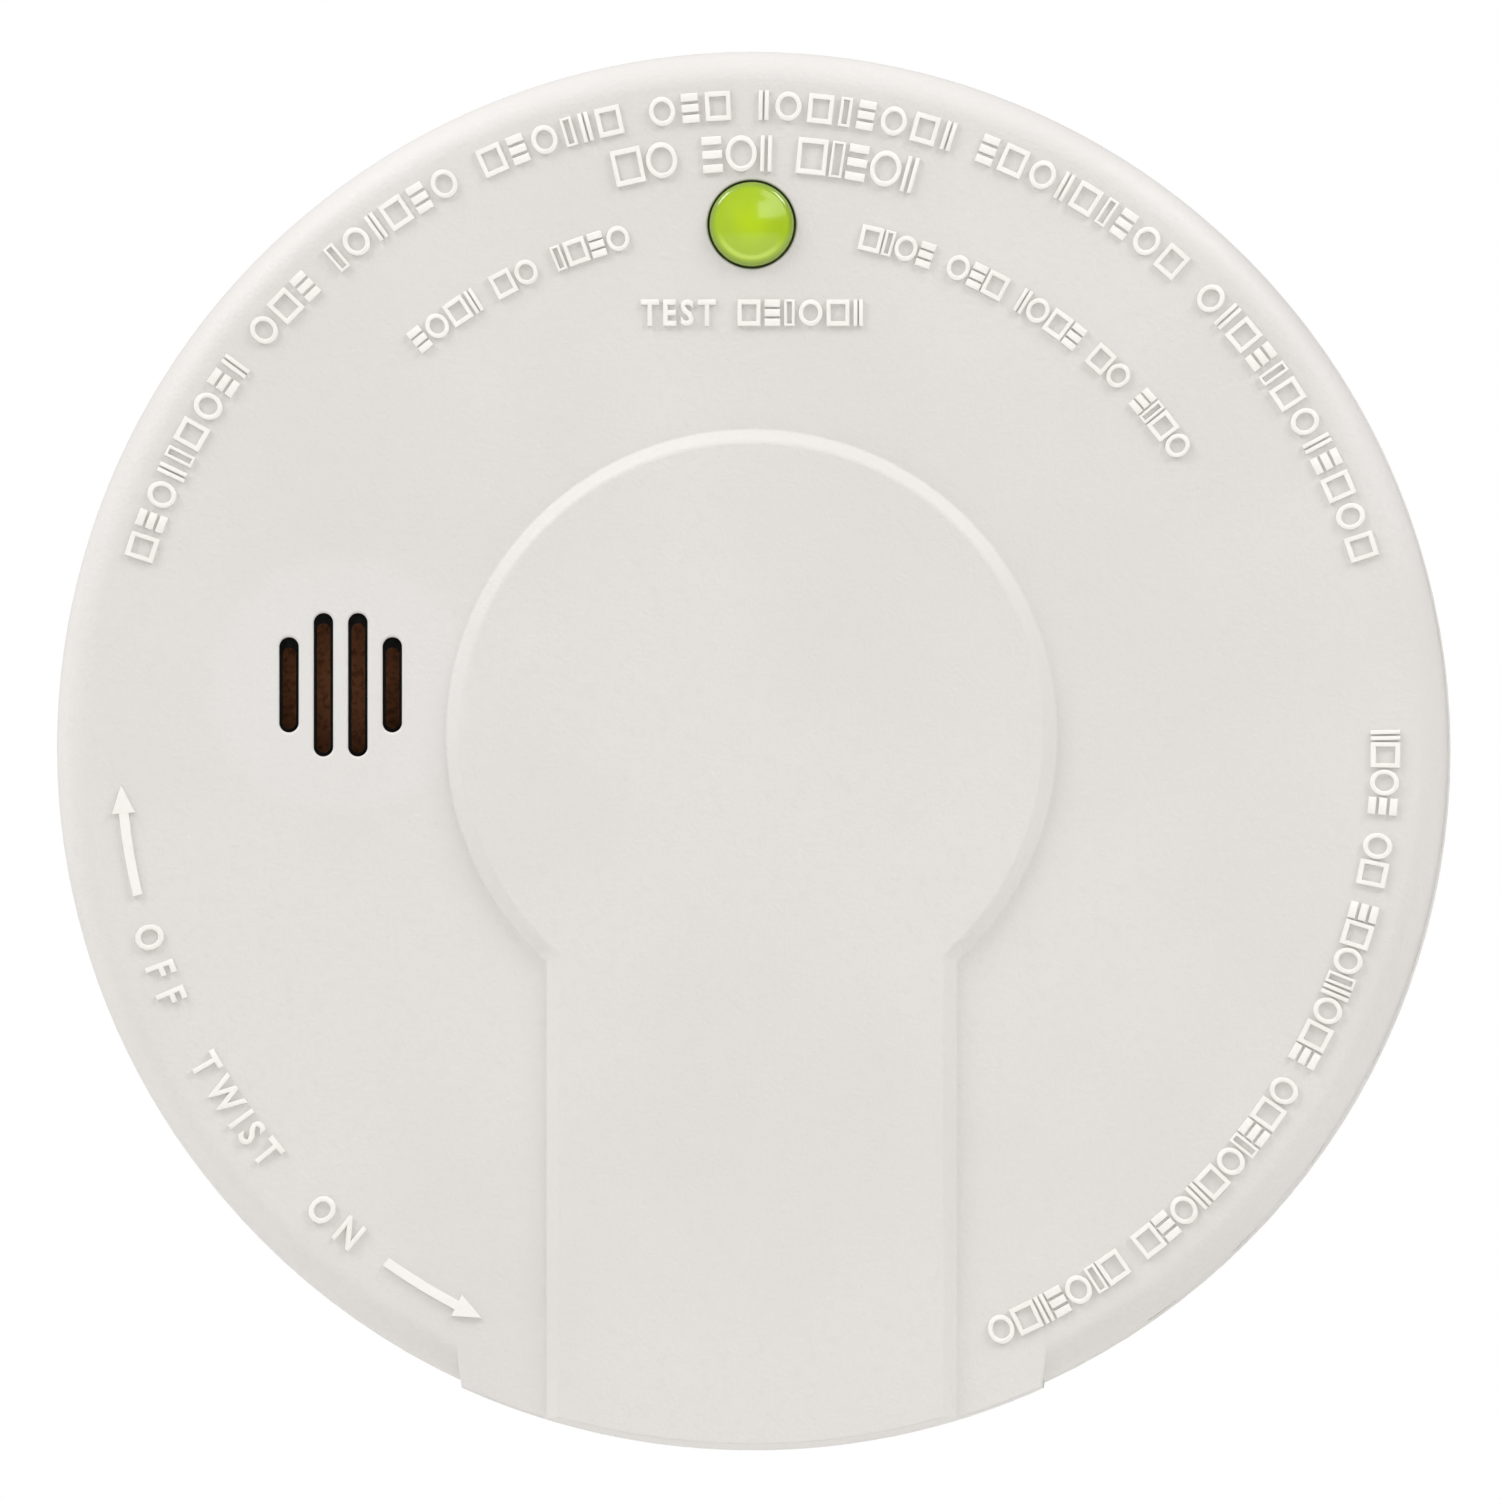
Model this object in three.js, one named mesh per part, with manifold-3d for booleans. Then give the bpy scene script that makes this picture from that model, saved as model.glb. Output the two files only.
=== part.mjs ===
// A round wall or ceiling smoke alarm on its twist-on bracket, with its battery, horn, smoke chamber,
// circuit board and test button. Millimetres.
//
// Everything is drawn as it lies on the bench, face up: X to the right, Y towards the top of the face
// and Z out of the wall. The outer group then stands it against the wall, with the face to -Y and the
// top of the face to +Z. The origin is the middle of the bracket's back.

import * as THREE from "three";
import { mergeVertices } from "three/addons/utils/BufferGeometryUtils.js";
import Module from "manifold-3d";

const wasm = await Module();
wasm.setup();

// ---------------------------------------------------------------- driving dimensions

const GAP = 0.3; // between pieces that touch
const PAST = 1; // how far a cutter runs past what it cuts

// Outer shell
const BASE_RADIUS = 71;
const COVER_RADIUS = 70.7;
const WALL = 1.9;
const FACE_Z = 39.8;
const EDGE_ROUND = 3.4;
const PARTING_Z = 14;
const SKIRT_Z = 0.8;
const FLOOR_BACK_Z = 4.5;
const FLOOR_FRONT_Z = 6.5;
const LIP_RADIUS = 68.3;
const LIP_WALL = 1.4;
const LIP_Z = 17.5;

// Side vents, all round but for the tab at the bottom
const VENT_COUNT = 33;
const VENT_STEP = Math.PI / 20;
const VENT_WIDTH = 3;
const VENT_LOW_Z = 19;
const VENT_HIGH_Z = 29;

// Tab at the bottom of the cover, flat out to its edge
const TAB_HALF_WIDTH = 30.4;
const TAB_RADIUS = 71.5;

// Raised keyhole panel on the face
const PANEL_Z = 41;
const PANEL_RADIUS = 31.2;
const PANEL_CENTRE_Y = 1.2;
const PANEL_HALF_WIDTH = 21;
const PANEL_BEVEL = 1.5;

// Sounder slots in the face, as x from the group's middle and length
const SLOTS = [
  [-5.25, 9.7],
  [-1.75, 14.6],
  [1.75, 14.6],
  [5.25, 9.7],
];
const SLOT_WIDTH = 2;
const HORN_X = -41.8;
const HORN_Y = 6.3;

// Test button and the switch under it
const BUTTON_Y = 53.1;
const BUTTON_RADIUS = 4.5;
const BUTTON_HOLE_RADIUS = 4.85;
const BUTTON_TOP_Z = 41.3;
const BUTTON_FLANGE_RADIUS = 5.6;
const BUTTON_STEM_RADIUS = 1.7;
const GUIDE_FLOOR_Z = 26;
const GUIDE_FLOOR = 1.4;
const SWITCH_TOP_Z = 18;

// Mounting bracket
const BRACKET_RADIUS = 64;
const BRACKET_BORE = 38;
const BRACKET_PLATE = 2.4;
const SCREW_SPACING = 88.9;
const KEYHOLE_RADIUS = 4.2;
const KEYHOLE_NECK = 2.2;
const KEYHOLE_REACH = 8;

// Bayonet between the bracket and the base
const HOOK_ANGLES = [30, 150, 270].map(THREE.MathUtils.degToRad);
const HOOK_HALF_ANGLE = THREE.MathUtils.degToRad(5);
const TWIST = THREE.MathUtils.degToRad(18);
const HOOK_PLAY = THREE.MathUtils.degToRad(1.2);
const HOOK_INNER = 53.6;
const HOOK_LEG = 56;
const HOOK_OUTER = 59.4;
const HOOK_CLEARANCE = 0.7;
const HOOK_ARM = 1.6;

// Circuit board
const BOARD_BACK_Z = 12;
const BOARD_FRONT_Z = 13.6;
const BOARD_RADIUS = 61;
const BOARD_EDGE_Y = 12;
const BOARD_NOTCH_X = -26;
const ON_BOARD = BOARD_FRONT_Z + GAP;
const BOARD_SCREWS = [
  [-42, 35],
  [53, 18],
  [-52, -5],
];

// Nine-volt battery, lying in its well with its terminals to the right
const BATTERY_X = 3;
const BATTERY_Y = -8;
const BATTERY_LENGTH = 46.4;
const BATTERY_HEIGHT = 26.5;
const BATTERY_DEPTH = 17.5;
const BATTERY_BACK_Z = 7.5;
const TERMINAL_SPACING = 12.7;
const TERMINAL_HEIGHT = 2.1;
const WELL_WALL = 1.6;
const WELL_PLAY = 1;
const WELL_END_PLAY = 3.9; // past the battery's terminal end, for the leaf contacts
const WELL_FLOOR_Z = 29;

// Battery reminder finger, hinged on the well's floor under the battery
const FINGER_LENGTH = 34;
const FINGER_WIDTH = 6;
const FINGER_THICKNESS = 1.4;
const FINGER_X = -18;
const FINGER_Z = 27;
const PIN_RADIUS = 0.7;
const EYE_RADIUS = 1.5;

// Smoke chamber
const CHAMBER_X = 28;
const CHAMBER_Y = 33;
const CHAMBER_RADIUS = 15.5;
const CHAMBER_TOP_Z = 32;

// ---------------------------------------------------------------- solids

const deg = THREE.MathUtils.degToRad;

// A three.js geometry as a closed solid.
function solid(geometry) {
  const bare = geometry.clone();
  bare.deleteAttribute("normal");
  bare.deleteAttribute("uv");
  const merged = mergeVertices(bare, 1e-4);
  return new wasm.Manifold(
    new wasm.Mesh({
      numProp: 3,
      vertProperties: merged.attributes.position.array,
      triVerts: new Uint32Array(merged.index.array),
    }),
  );
}

// A closed solid as a three.js geometry.
function geometryOf(body) {
  const mesh = body.getMesh();
  const geometry = new THREE.BufferGeometry();
  geometry.setAttribute("position", new THREE.BufferAttribute(mesh.vertProperties, 3));
  geometry.setIndex(new THREE.BufferAttribute(mesh.triVerts, 1));
  geometry.computeVertexNormals();
  return geometry;
}

// A round bar along Z between two heights.
function cylinder(radius, low, high, x = 0, y = 0, segments = 24) {
  const geometry = new THREE.CylinderGeometry(radius, radius, high - low, segments);
  return solid(geometry.rotateX(Math.PI / 2).translate(x, y, (low + high) / 2));
}

// A round bar along Y, with its middle at a point.
function crossBar(radius, length, x, z, segments = 16) {
  return solid(new THREE.CylinderGeometry(radius, radius, length, segments).translate(x, 0, z));
}

// A square block from its lowest corner to its highest.
function block(low, high) {
  const [sx, sy, sz] = high.map((value, i) => value - low[i]);
  const middle = high.map((value, i) => (value + low[i]) / 2);
  return solid(new THREE.BoxGeometry(sx, sy, sz).translate(...middle));
}

// A flat outline raised along Z between two heights.
function raised(shape, low, high, curveSegments = 8) {
  const settings = { depth: high - low, bevelEnabled: false, curveSegments };
  return solid(new THREE.ExtrudeGeometry(shape, settings).translate(0, 0, low));
}

// A section of (radius, height) points turned about Z.
function turned(points, segments = 32) {
  const section = points.map(([radius, height]) => new THREE.Vector2(radius, height));
  return solid(new THREE.LatheGeometry(section, segments).rotateX(Math.PI / 2));
}

// A round tube wall along Z.
function tube(inner, outer, low, high, segments = 32) {
  const corners = [
    [inner, low],
    [outer, low],
    [outer, high],
    [inner, high],
    [inner, low],
  ];
  return turned(corners, segments);
}

// A piece of a flat ring between two radii and two angles.
function ringSector(inner, outer, from, to) {
  const shape = new THREE.Shape();
  shape.absarc(0, 0, outer, from, to, false);
  shape.absarc(0, 0, inner, to, from, true);
  shape.closePath();
  return shape;
}

// A slot with round ends that stands along Y.
function slotShape(x, y, width, length) {
  const radius = width / 2;
  const half = length / 2 - radius;
  const shape = new THREE.Shape();
  shape.absarc(x, y + half, radius, 0, Math.PI, false);
  shape.absarc(x, y - half, radius, Math.PI, 2 * Math.PI, false);
  shape.closePath();
  return shape;
}

// A rectangle with round corners about the origin.
function roundRectangle(width, height, radius) {
  const x = width / 2 - radius;
  const y = height / 2 - radius;
  const shape = new THREE.Shape();
  shape.absarc(x, y, radius, 0, Math.PI / 2, false);
  shape.absarc(-x, y, radius, Math.PI / 2, Math.PI, false);
  shape.absarc(-x, -y, radius, Math.PI, 1.5 * Math.PI, false);
  shape.absarc(x, -y, radius, 1.5 * Math.PI, 2 * Math.PI, false);
  shape.closePath();
  return shape;
}

// A strip of sheet metal: a line of (along, up) points given a thickness and a width across it.
function strip(points, thickness, width) {
  const line = points.map(([along, up]) => new THREE.Vector2(along, up));
  const sides = line.map((point, i) => {
    const before = line[Math.max(i - 1, 0)];
    const after = line[Math.min(i + 1, line.length - 1)];
    const run = after.clone().sub(before).normalize();
    return new THREE.Vector2(-run.y, run.x).multiplyScalar(thickness / 2);
  });
  const left = line.map((point, i) => point.clone().add(sides[i]));
  const right = line.map((point, i) => point.clone().sub(sides[i])).reverse();
  const shape = new THREE.Shape([...left, ...right]);
  const settings = { depth: width, bevelEnabled: false };
  return solid(new THREE.ExtrudeGeometry(shape, settings).translate(0, 0, -width / 2).rotateX(Math.PI / 2));
}

// Wire of a given radius wound round Z, with its ends left open.
class Helix extends THREE.Curve {
  constructor(radius, low, high, turns) {
    super();
    Object.assign(this, { radius, low, high, turns });
  }

  getPoint(t, target = new THREE.Vector3()) {
    const angle = 2 * Math.PI * this.turns * t;
    const height = this.low + (this.high - this.low) * t;
    return target.set(this.radius * Math.cos(angle), this.radius * Math.sin(angle), height);
  }
}

function coil(radius, low, high, turns, wire, stepsPerTurn = 10) {
  const section = new THREE.Shape().absarc(0, 0, wire, 0, 2 * Math.PI, false);
  const settings = {
    steps: Math.round(turns * stepsPerTurn),
    bevelEnabled: false,
    curveSegments: 3,
    extrudePath: new Helix(radius, low, high, turns),
  };
  return solid(new THREE.ExtrudeGeometry(section, settings));
}

// ---------------------------------------------------------------- finishes and placing

const paint = (color, roughness, metalness = 0) =>
  new THREE.MeshStandardMaterial({ color, roughness, metalness });

const FINISH = {
  shell: () => paint(0xe2dfdb, 0.55),
  bracket: () => paint(0xe9e7e2, 0.55),
  button: () => paint(0xa9d01c, 0.2),
  steel: () => paint(0xb9bcbf, 0.35, 1),
  brass: () => paint(0xb58a3a, 0.35, 1),
  board: () => paint(0x3a6b35, 0.5),
  black: () => paint(0x17181a, 0.45),
  ceramic: () => paint(0xd9d4c4, 0.6),
  beige: () => paint(0xc9a877, 0.5),
  blue: () => paint(0x1d2f5a, 0.4),
  maroon: () => paint(0x8a2a22, 0.4),
  red: () => paint(0xc8201c, 0.4),
  paper: () => paint(0xf2f1ee, 0.7),
  wrap: () => paint(0x2b2d31, 0.35),
};

// Adds a named piece to a group, at a place and a turn in that group.
function place(group, name, body, finish, position = [0, 0, 0], turn = 0) {
  const mesh = new THREE.Mesh(geometryOf(body), finish());
  mesh.name = name;
  mesh.position.set(...position);
  mesh.rotation.z = turn;
  group.add(mesh);
  return mesh;
}

function groupAt(parent, x = 0, y = 0, z = 0) {
  const group = new THREE.Group();
  group.position.set(x, y, z);
  parent.add(group);
  return group;
}

// ---------------------------------------------------------------- bracket

function keyhole(side) {
  const x = (side * SCREW_SPACING) / 2;
  const head = cylinder(KEYHOLE_RADIUS, -PAST, BRACKET_PLATE + PAST, x, 0, 20);
  const neck = slotShape(x, side * KEYHOLE_REACH * 0.5, 2 * KEYHOLE_NECK, KEYHOLE_REACH + 2 * KEYHOLE_NECK);
  return head.add(raised(neck, -PAST, BRACKET_PLATE + PAST, 6));
}

function hook(angle) {
  const from = angle - HOOK_HALF_ANGLE;
  const to = angle + HOOK_HALF_ANGLE;
  const armLow = FLOOR_FRONT_Z + HOOK_CLEARANCE;
  const leg = raised(ringSector(HOOK_INNER, HOOK_LEG, from, to), BRACKET_PLATE / 2, armLow + HOOK_ARM, 4);
  return leg.add(raised(ringSector(HOOK_INNER, HOOK_OUTER, from, to), armLow, armLow + HOOK_ARM, 4));
}

function bracketBody() {
  const rimZ = 3.6;
  const rim = 1.5;
  const section = [
    [BRACKET_BORE, 0],
    [BRACKET_RADIUS, 0],
    [BRACKET_RADIUS, rimZ],
    [BRACKET_RADIUS - rim, rimZ],
    [BRACKET_RADIUS - rim, BRACKET_PLATE],
    [BRACKET_BORE + rim, BRACKET_PLATE],
    [BRACKET_BORE + rim, rimZ],
    [BRACKET_BORE, rimZ],
    [BRACKET_BORE, 0],
  ];
  let body = turned(section, 48);
  for (const side of [-1, 1]) body = body.subtract(keyhole(side));
  for (const angle of HOOK_ANGLES) body = body.add(hook(angle));
  return body;
}

// ---------------------------------------------------------------- base housing

function wellSize() {
  return {
    left: BATTERY_X - BATTERY_LENGTH / 2 - WELL_PLAY,
    right: BATTERY_X + BATTERY_LENGTH / 2 + WELL_END_PLAY,
    low: BATTERY_Y - BATTERY_HEIGHT / 2 - WELL_PLAY,
    high: BATTERY_Y + BATTERY_HEIGHT / 2 + WELL_PLAY,
  };
}

function bayonetOpening(angle) {
  const low = FLOOR_BACK_Z - PAST;
  const high = FLOOR_FRONT_Z + PAST;
  const from = angle - HOOK_HALF_ANGLE - HOOK_PLAY;
  const to = angle + TWIST + HOOK_HALF_ANGLE + HOOK_PLAY;
  const wideFrom = angle + TWIST - HOOK_HALF_ANGLE - HOOK_PLAY;
  const track = raised(ringSector(HOOK_INNER - 0.6, HOOK_LEG + 0.6, from, to), low, high, 6);
  return track.add(raised(ringSector(HOOK_INNER - 0.6, HOOK_OUTER + 0.6, wideFrom, to), low, high, 6));
}

function baseBody() {
  const boardBoss = BOARD_BACK_Z - GAP;
  const well = wellSize();
  const floorMiddle = (FLOOR_BACK_Z + FLOOR_FRONT_Z) / 2;
  const section = [
    [0, FLOOR_BACK_Z],
    [BASE_RADIUS - WALL, FLOOR_BACK_Z],
    [BASE_RADIUS - WALL, SKIRT_Z],
    [BASE_RADIUS, SKIRT_Z],
    [BASE_RADIUS, PARTING_Z],
    [LIP_RADIUS, PARTING_Z],
    [LIP_RADIUS, LIP_Z],
    [LIP_RADIUS - LIP_WALL, LIP_Z],
    [LIP_RADIUS - LIP_WALL, FLOOR_FRONT_Z],
    [0, FLOOR_FRONT_Z],
  ];
  let body = turned(section, 60);
  for (const [x, y] of BOARD_SCREWS) body = body.add(cylinder(3, floorMiddle, boardBoss, x, y, 16));
  body = body.add(
    block(
      [well.left - WELL_WALL, well.low - WELL_WALL, floorMiddle],
      [well.right + WELL_WALL, well.high + WELL_WALL, WELL_FLOOR_Z + WELL_WALL],
    ),
  );
  body = body.subtract(
    block([well.left, well.low, FLOOR_BACK_Z - PAST], [well.right, well.high, WELL_FLOOR_Z]),
  );
  body = body.add(hingeLugs());
  for (const angle of HOOK_ANGLES) body = body.subtract(bayonetOpening(angle));
  return body;
}

// Two lugs on the well's floor that hold the finger's pin.
function hingeLugs() {
  const reach = FINGER_WIDTH / 2 + GAP;
  const thickness = 1.6;
  const lowZ = FINGER_Z - EYE_RADIUS;
  const lug = (y) =>
    block([FINGER_X - EYE_RADIUS, y, lowZ], [FINGER_X + EYE_RADIUS, y + thickness, WELL_FLOOR_Z + WELL_WALL / 2]);
  const lugs = lug(BATTERY_Y + reach).add(lug(BATTERY_Y - reach - thickness));
  const bore = solid(
    new THREE.CylinderGeometry(PIN_RADIUS + GAP, PIN_RADIUS + GAP, 2 * FINGER_WIDTH, 12).translate(
      FINGER_X,
      BATTERY_Y,
      FINGER_Z,
    ),
  );
  return lugs.subtract(bore);
}

// ---------------------------------------------------------------- front cover

function coverOutside() {
  const low = PARTING_Z + GAP;
  const corner = FACE_Z - EDGE_ROUND;
  const steps = 3;
  const section = [
    [0, low],
    [COVER_RADIUS, low],
  ];
  for (let i = 0; i <= steps; i++) {
    const angle = (Math.PI / 2) * (i / steps);
    const radius = COVER_RADIUS - EDGE_ROUND + EDGE_ROUND * Math.cos(angle);
    section.push([radius, corner + EDGE_ROUND * Math.sin(angle)]);
  }
  section.push([0, FACE_Z]);
  return turned(section, 60).add(tabBody(low));
}

function tabBody(low) {
  const angle = Math.acos(TAB_HALF_WIDTH / TAB_RADIUS);
  const shape = new THREE.Shape();
  shape.absarc(0, 0, TAB_RADIUS, Math.PI + angle, 2 * Math.PI - angle, false);
  shape.lineTo(TAB_HALF_WIDTH, -TAB_HALF_WIDTH);
  shape.lineTo(-TAB_HALF_WIDTH, -TAB_HALF_WIDTH);
  shape.closePath();
  return raised(shape, low, FACE_Z, 12);
}

// The raised keyhole panel, with its sloping edge, cut off at the tab's rim.
function panelBody() {
  const radius = PANEL_RADIUS - PANEL_BEVEL;
  const half = PANEL_HALF_WIDTH - PANEL_BEVEL;
  const neck = Math.asin(half / radius);
  const shape = new THREE.Shape();
  shape.absarc(0, PANEL_CENTRE_Y, radius, -Math.PI / 2 + neck, 1.5 * Math.PI - neck, false);
  shape.lineTo(-half, -TAB_RADIUS - PAST);
  shape.lineTo(half, -TAB_RADIUS - PAST);
  shape.closePath();
  const settings = {
    depth: FACE_Z / 2,
    bevelEnabled: true,
    bevelSize: PANEL_BEVEL,
    bevelThickness: PANEL_Z - FACE_Z,
    bevelSegments: 1,
    curveSegments: 32,
  };
  const panel = solid(new THREE.ExtrudeGeometry(shape, settings).translate(0, 0, FACE_Z / 2));
  return panel.intersect(cylinder(TAB_RADIUS - 0.2, FACE_Z - WALL / 2, PANEL_Z, 0, 0, 60));
}

function coverBody() {
  const inner = FACE_Z - WALL;
  let body = coverOutside();
  body = body.subtract(cylinder(COVER_RADIUS - WALL, PARTING_Z - PAST, inner, 0, 0, 60));
  body = body.add(panelBody());
  for (const [x, length] of SLOTS) {
    const slot = slotShape(HORN_X + x, HORN_Y, SLOT_WIDTH, length);
    body = body.subtract(raised(slot, inner - PAST, FACE_Z + PAST, 4));
  }
  body = body.subtract(cylinder(BUTTON_HOLE_RADIUS, inner - PAST, FACE_Z + PAST, 0, BUTTON_Y, 24));
  for (let i = 0; i < VENT_COUNT; i++) {
    const angle = Math.PI / 2 + (i - (VENT_COUNT - 1) / 2) * VENT_STEP;
    const low = [COVER_RADIUS - 2 * WALL, -VENT_WIDTH / 2, VENT_LOW_Z];
    const high = [COVER_RADIUS + PAST, VENT_WIDTH / 2, VENT_HIGH_Z];
    body = body.subtract(block(low, high).rotate([0, 0, THREE.MathUtils.radToDeg(angle)]));
  }
  return body;
}

// ---------------------------------------------------------------- circuit board and its parts

function boardShape() {
  const right = Math.asin(BOARD_EDGE_Y / BOARD_RADIUS);
  const shape = new THREE.Shape();
  shape.absarc(0, 0, BOARD_RADIUS, right, Math.PI + right, false);
  shape.lineTo(BOARD_NOTCH_X, -BOARD_EDGE_Y);
  shape.lineTo(BOARD_NOTCH_X, BOARD_EDGE_Y);
  shape.closePath();
  return shape;
}

function addBoard(alarm) {
  let board = raised(boardShape(), BOARD_BACK_Z, BOARD_FRONT_Z, 32);
  for (const [x, y] of BOARD_SCREWS) {
    board = board.subtract(cylinder(1.6, BOARD_BACK_Z - PAST, BOARD_FRONT_Z + PAST, x, y, 12));
  }
  place(alarm, "circuit_board", board, FINISH.board);
  BOARD_SCREWS.forEach(([x, y], i) => {
    const head = turned(
      [
        [0, BOARD_BACK_Z],
        [1.2, BOARD_BACK_Z],
        [1.2, ON_BOARD],
        [2.6, ON_BOARD],
        [2.2, ON_BOARD + 1.3],
        [0, ON_BOARD + 1.6],
      ],
      16,
    );
    place(alarm, `board_screw_${i + 1}`, head, FINISH.steel, [x, y, 0]);
  });
}

// An integrated circuit in its dual-in-line case, with its legs.
function chipBody() {
  const length = 19.2;
  const width = 6.4;
  const rows = 8;
  const pitch = 2.54;
  let body = block([-length / 2, -width / 2, 1], [length / 2, width / 2, 4.3]);
  for (let i = 0; i < rows; i++) {
    const x = (i - (rows - 1) / 2) * pitch;
    body = body.add(block([x - 0.5, -width / 2 - 0.8, 0], [x + 0.5, width / 2 + 0.8, 2.4]));
  }
  return body.subtract(block([-length, -width / 2 + 0.4, -PAST], [length, width / 2 - 0.4, 1]));
}

// A resistor lying along X, with its legs bent down.
function resistorBody() {
  const body = solid(new THREE.CylinderGeometry(1.1, 1.1, 6, 12).rotateZ(Math.PI / 2).translate(0, 0, 1.8));
  const wire = [
    [-5, 0],
    [-5, 1.8],
    [5, 1.8],
    [5, 0],
  ];
  return body.add(strip(wire, 0.5, 0.5));
}

function addElectronics(alarm) {
  const on = (x, y) => [x, y, ON_BOARD];
  place(alarm, "controller_chip", chipBody(), FINISH.black, on(-9, 30));
  const resistors = [
    [-12, 20, 0],
    [-27, 24, 90],
    [-20, 52, 25],
    [12, 53, 0],
  ];
  resistors.forEach(([x, y, turn], i) => {
    place(alarm, `resistor_${i + 1}`, resistorBody(), FINISH.beige, on(x, y), deg(turn));
  });
  place(alarm, "electrolytic_capacitor_1", cylinder(4, 0, 11, 0, 0, 20), FINISH.blue, on(-26, 40));
  place(alarm, "electrolytic_capacitor_2", cylinder(2.5, 0, 7, 0, 0, 16), FINISH.blue, on(-14, 42));
  const film = raised(roundRectangle(10, 4, 1.2), 0, 8, 4);
  place(alarm, "film_capacitor", film, FINISH.maroon, on(7, 22), deg(90));
  const drum = turned(
    [
      [0, 0],
      [5, 0],
      [5, 1.2],
      [3.8, 1.2],
      [3.8, 6.8],
      [5, 6.8],
      [5, 8],
      [0, 8],
    ],
    20,
  );
  place(alarm, "horn_inductor", drum, FINISH.black, on(-1, 41));
  const diode = solid(new THREE.CylinderGeometry(0.9, 0.9, 4, 12).rotateZ(Math.PI / 2).translate(0, 0, 1.4));
  const legs = [
    [-4, 0],
    [-4, 1.4],
    [4, 1.4],
    [4, 0],
  ];
  place(alarm, "diode", diode.add(strip(legs, 0.5, 0.5)), FINISH.maroon, on(48, 30), deg(100));
  const lamp = turned(
    [
      [0, 0],
      [1.9, 0],
      [1.9, 1],
      [1.5, 1],
      [1.5, 4],
      [1, 5],
      [0, 5.4],
    ],
    16,
  );
  place(alarm, "status_lamp", lamp, FINISH.red, on(7.5, BUTTON_Y - 6));
}

// ---------------------------------------------------------------- test button

function addButton(alarm) {
  const spot = groupAt(alarm, 0, BUTTON_Y, 0);
  const flangeTop = FACE_Z - WALL - GAP;
  const flangeLow = flangeTop - 1.2;
  const domeSteps = 4;
  const domeRise = 1.4;
  const section = [
    [0, SWITCH_TOP_Z + 1.2 + GAP],
    [BUTTON_STEM_RADIUS, SWITCH_TOP_Z + 1.2 + GAP],
    [BUTTON_STEM_RADIUS, flangeLow],
    [BUTTON_FLANGE_RADIUS, flangeLow],
    [BUTTON_FLANGE_RADIUS, flangeTop],
    [BUTTON_RADIUS, flangeTop],
  ];
  for (let i = 0; i < domeSteps; i++) {
    const angle = (Math.PI / 2) * (i / domeSteps);
    section.push([BUTTON_RADIUS * Math.cos(angle), BUTTON_TOP_Z - domeRise + domeRise * Math.sin(angle)]);
  }
  section.push([0, BUTTON_TOP_Z]);
  place(spot, "test_button", turned(section, 20), FINISH.button);
  place(spot, "switch_plunger", cylinder(1.4, SWITCH_TOP_Z - 1.8, SWITCH_TOP_Z + 1.2, 0, 0, 16), FINISH.black);

  const bodyHalf = 3.1;
  const bodyTop = SWITCH_TOP_Z;
  let switchBody = block([-bodyHalf, -bodyHalf, ON_BOARD], [bodyHalf, bodyHalf, bodyTop]);
  switchBody = switchBody.subtract(cylinder(1.7, ON_BOARD + 0.5, bodyTop + PAST, 0, 0, 16));
  place(spot, "switch_body", switchBody, FINISH.black);

  const guideInner = BUTTON_FLANGE_RADIUS + 0.4;
  const guideOuter = guideInner + 1.2;
  const guideTop = FACE_Z - WALL - GAP;
  let guide = tube(guideInner, guideOuter, GUIDE_FLOOR_Z, guideTop, 20);
  guide = guide.add(
    tube(BUTTON_STEM_RADIUS + 0.4, guideInner + 0.6, GUIDE_FLOOR_Z, GUIDE_FLOOR_Z + GUIDE_FLOOR, 20),
  );
  place(spot, "button_guide", guide, FINISH.shell);

  const wire = 0.3;
  const springLow = GUIDE_FLOOR_Z + GUIDE_FLOOR + wire + GAP;
  const springHigh = flangeLow - wire - GAP;
  place(spot, "button_spring", coil(3.4, springLow, springHigh, 4.5, wire), FINISH.steel);
}

// ---------------------------------------------------------------- horn

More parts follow.
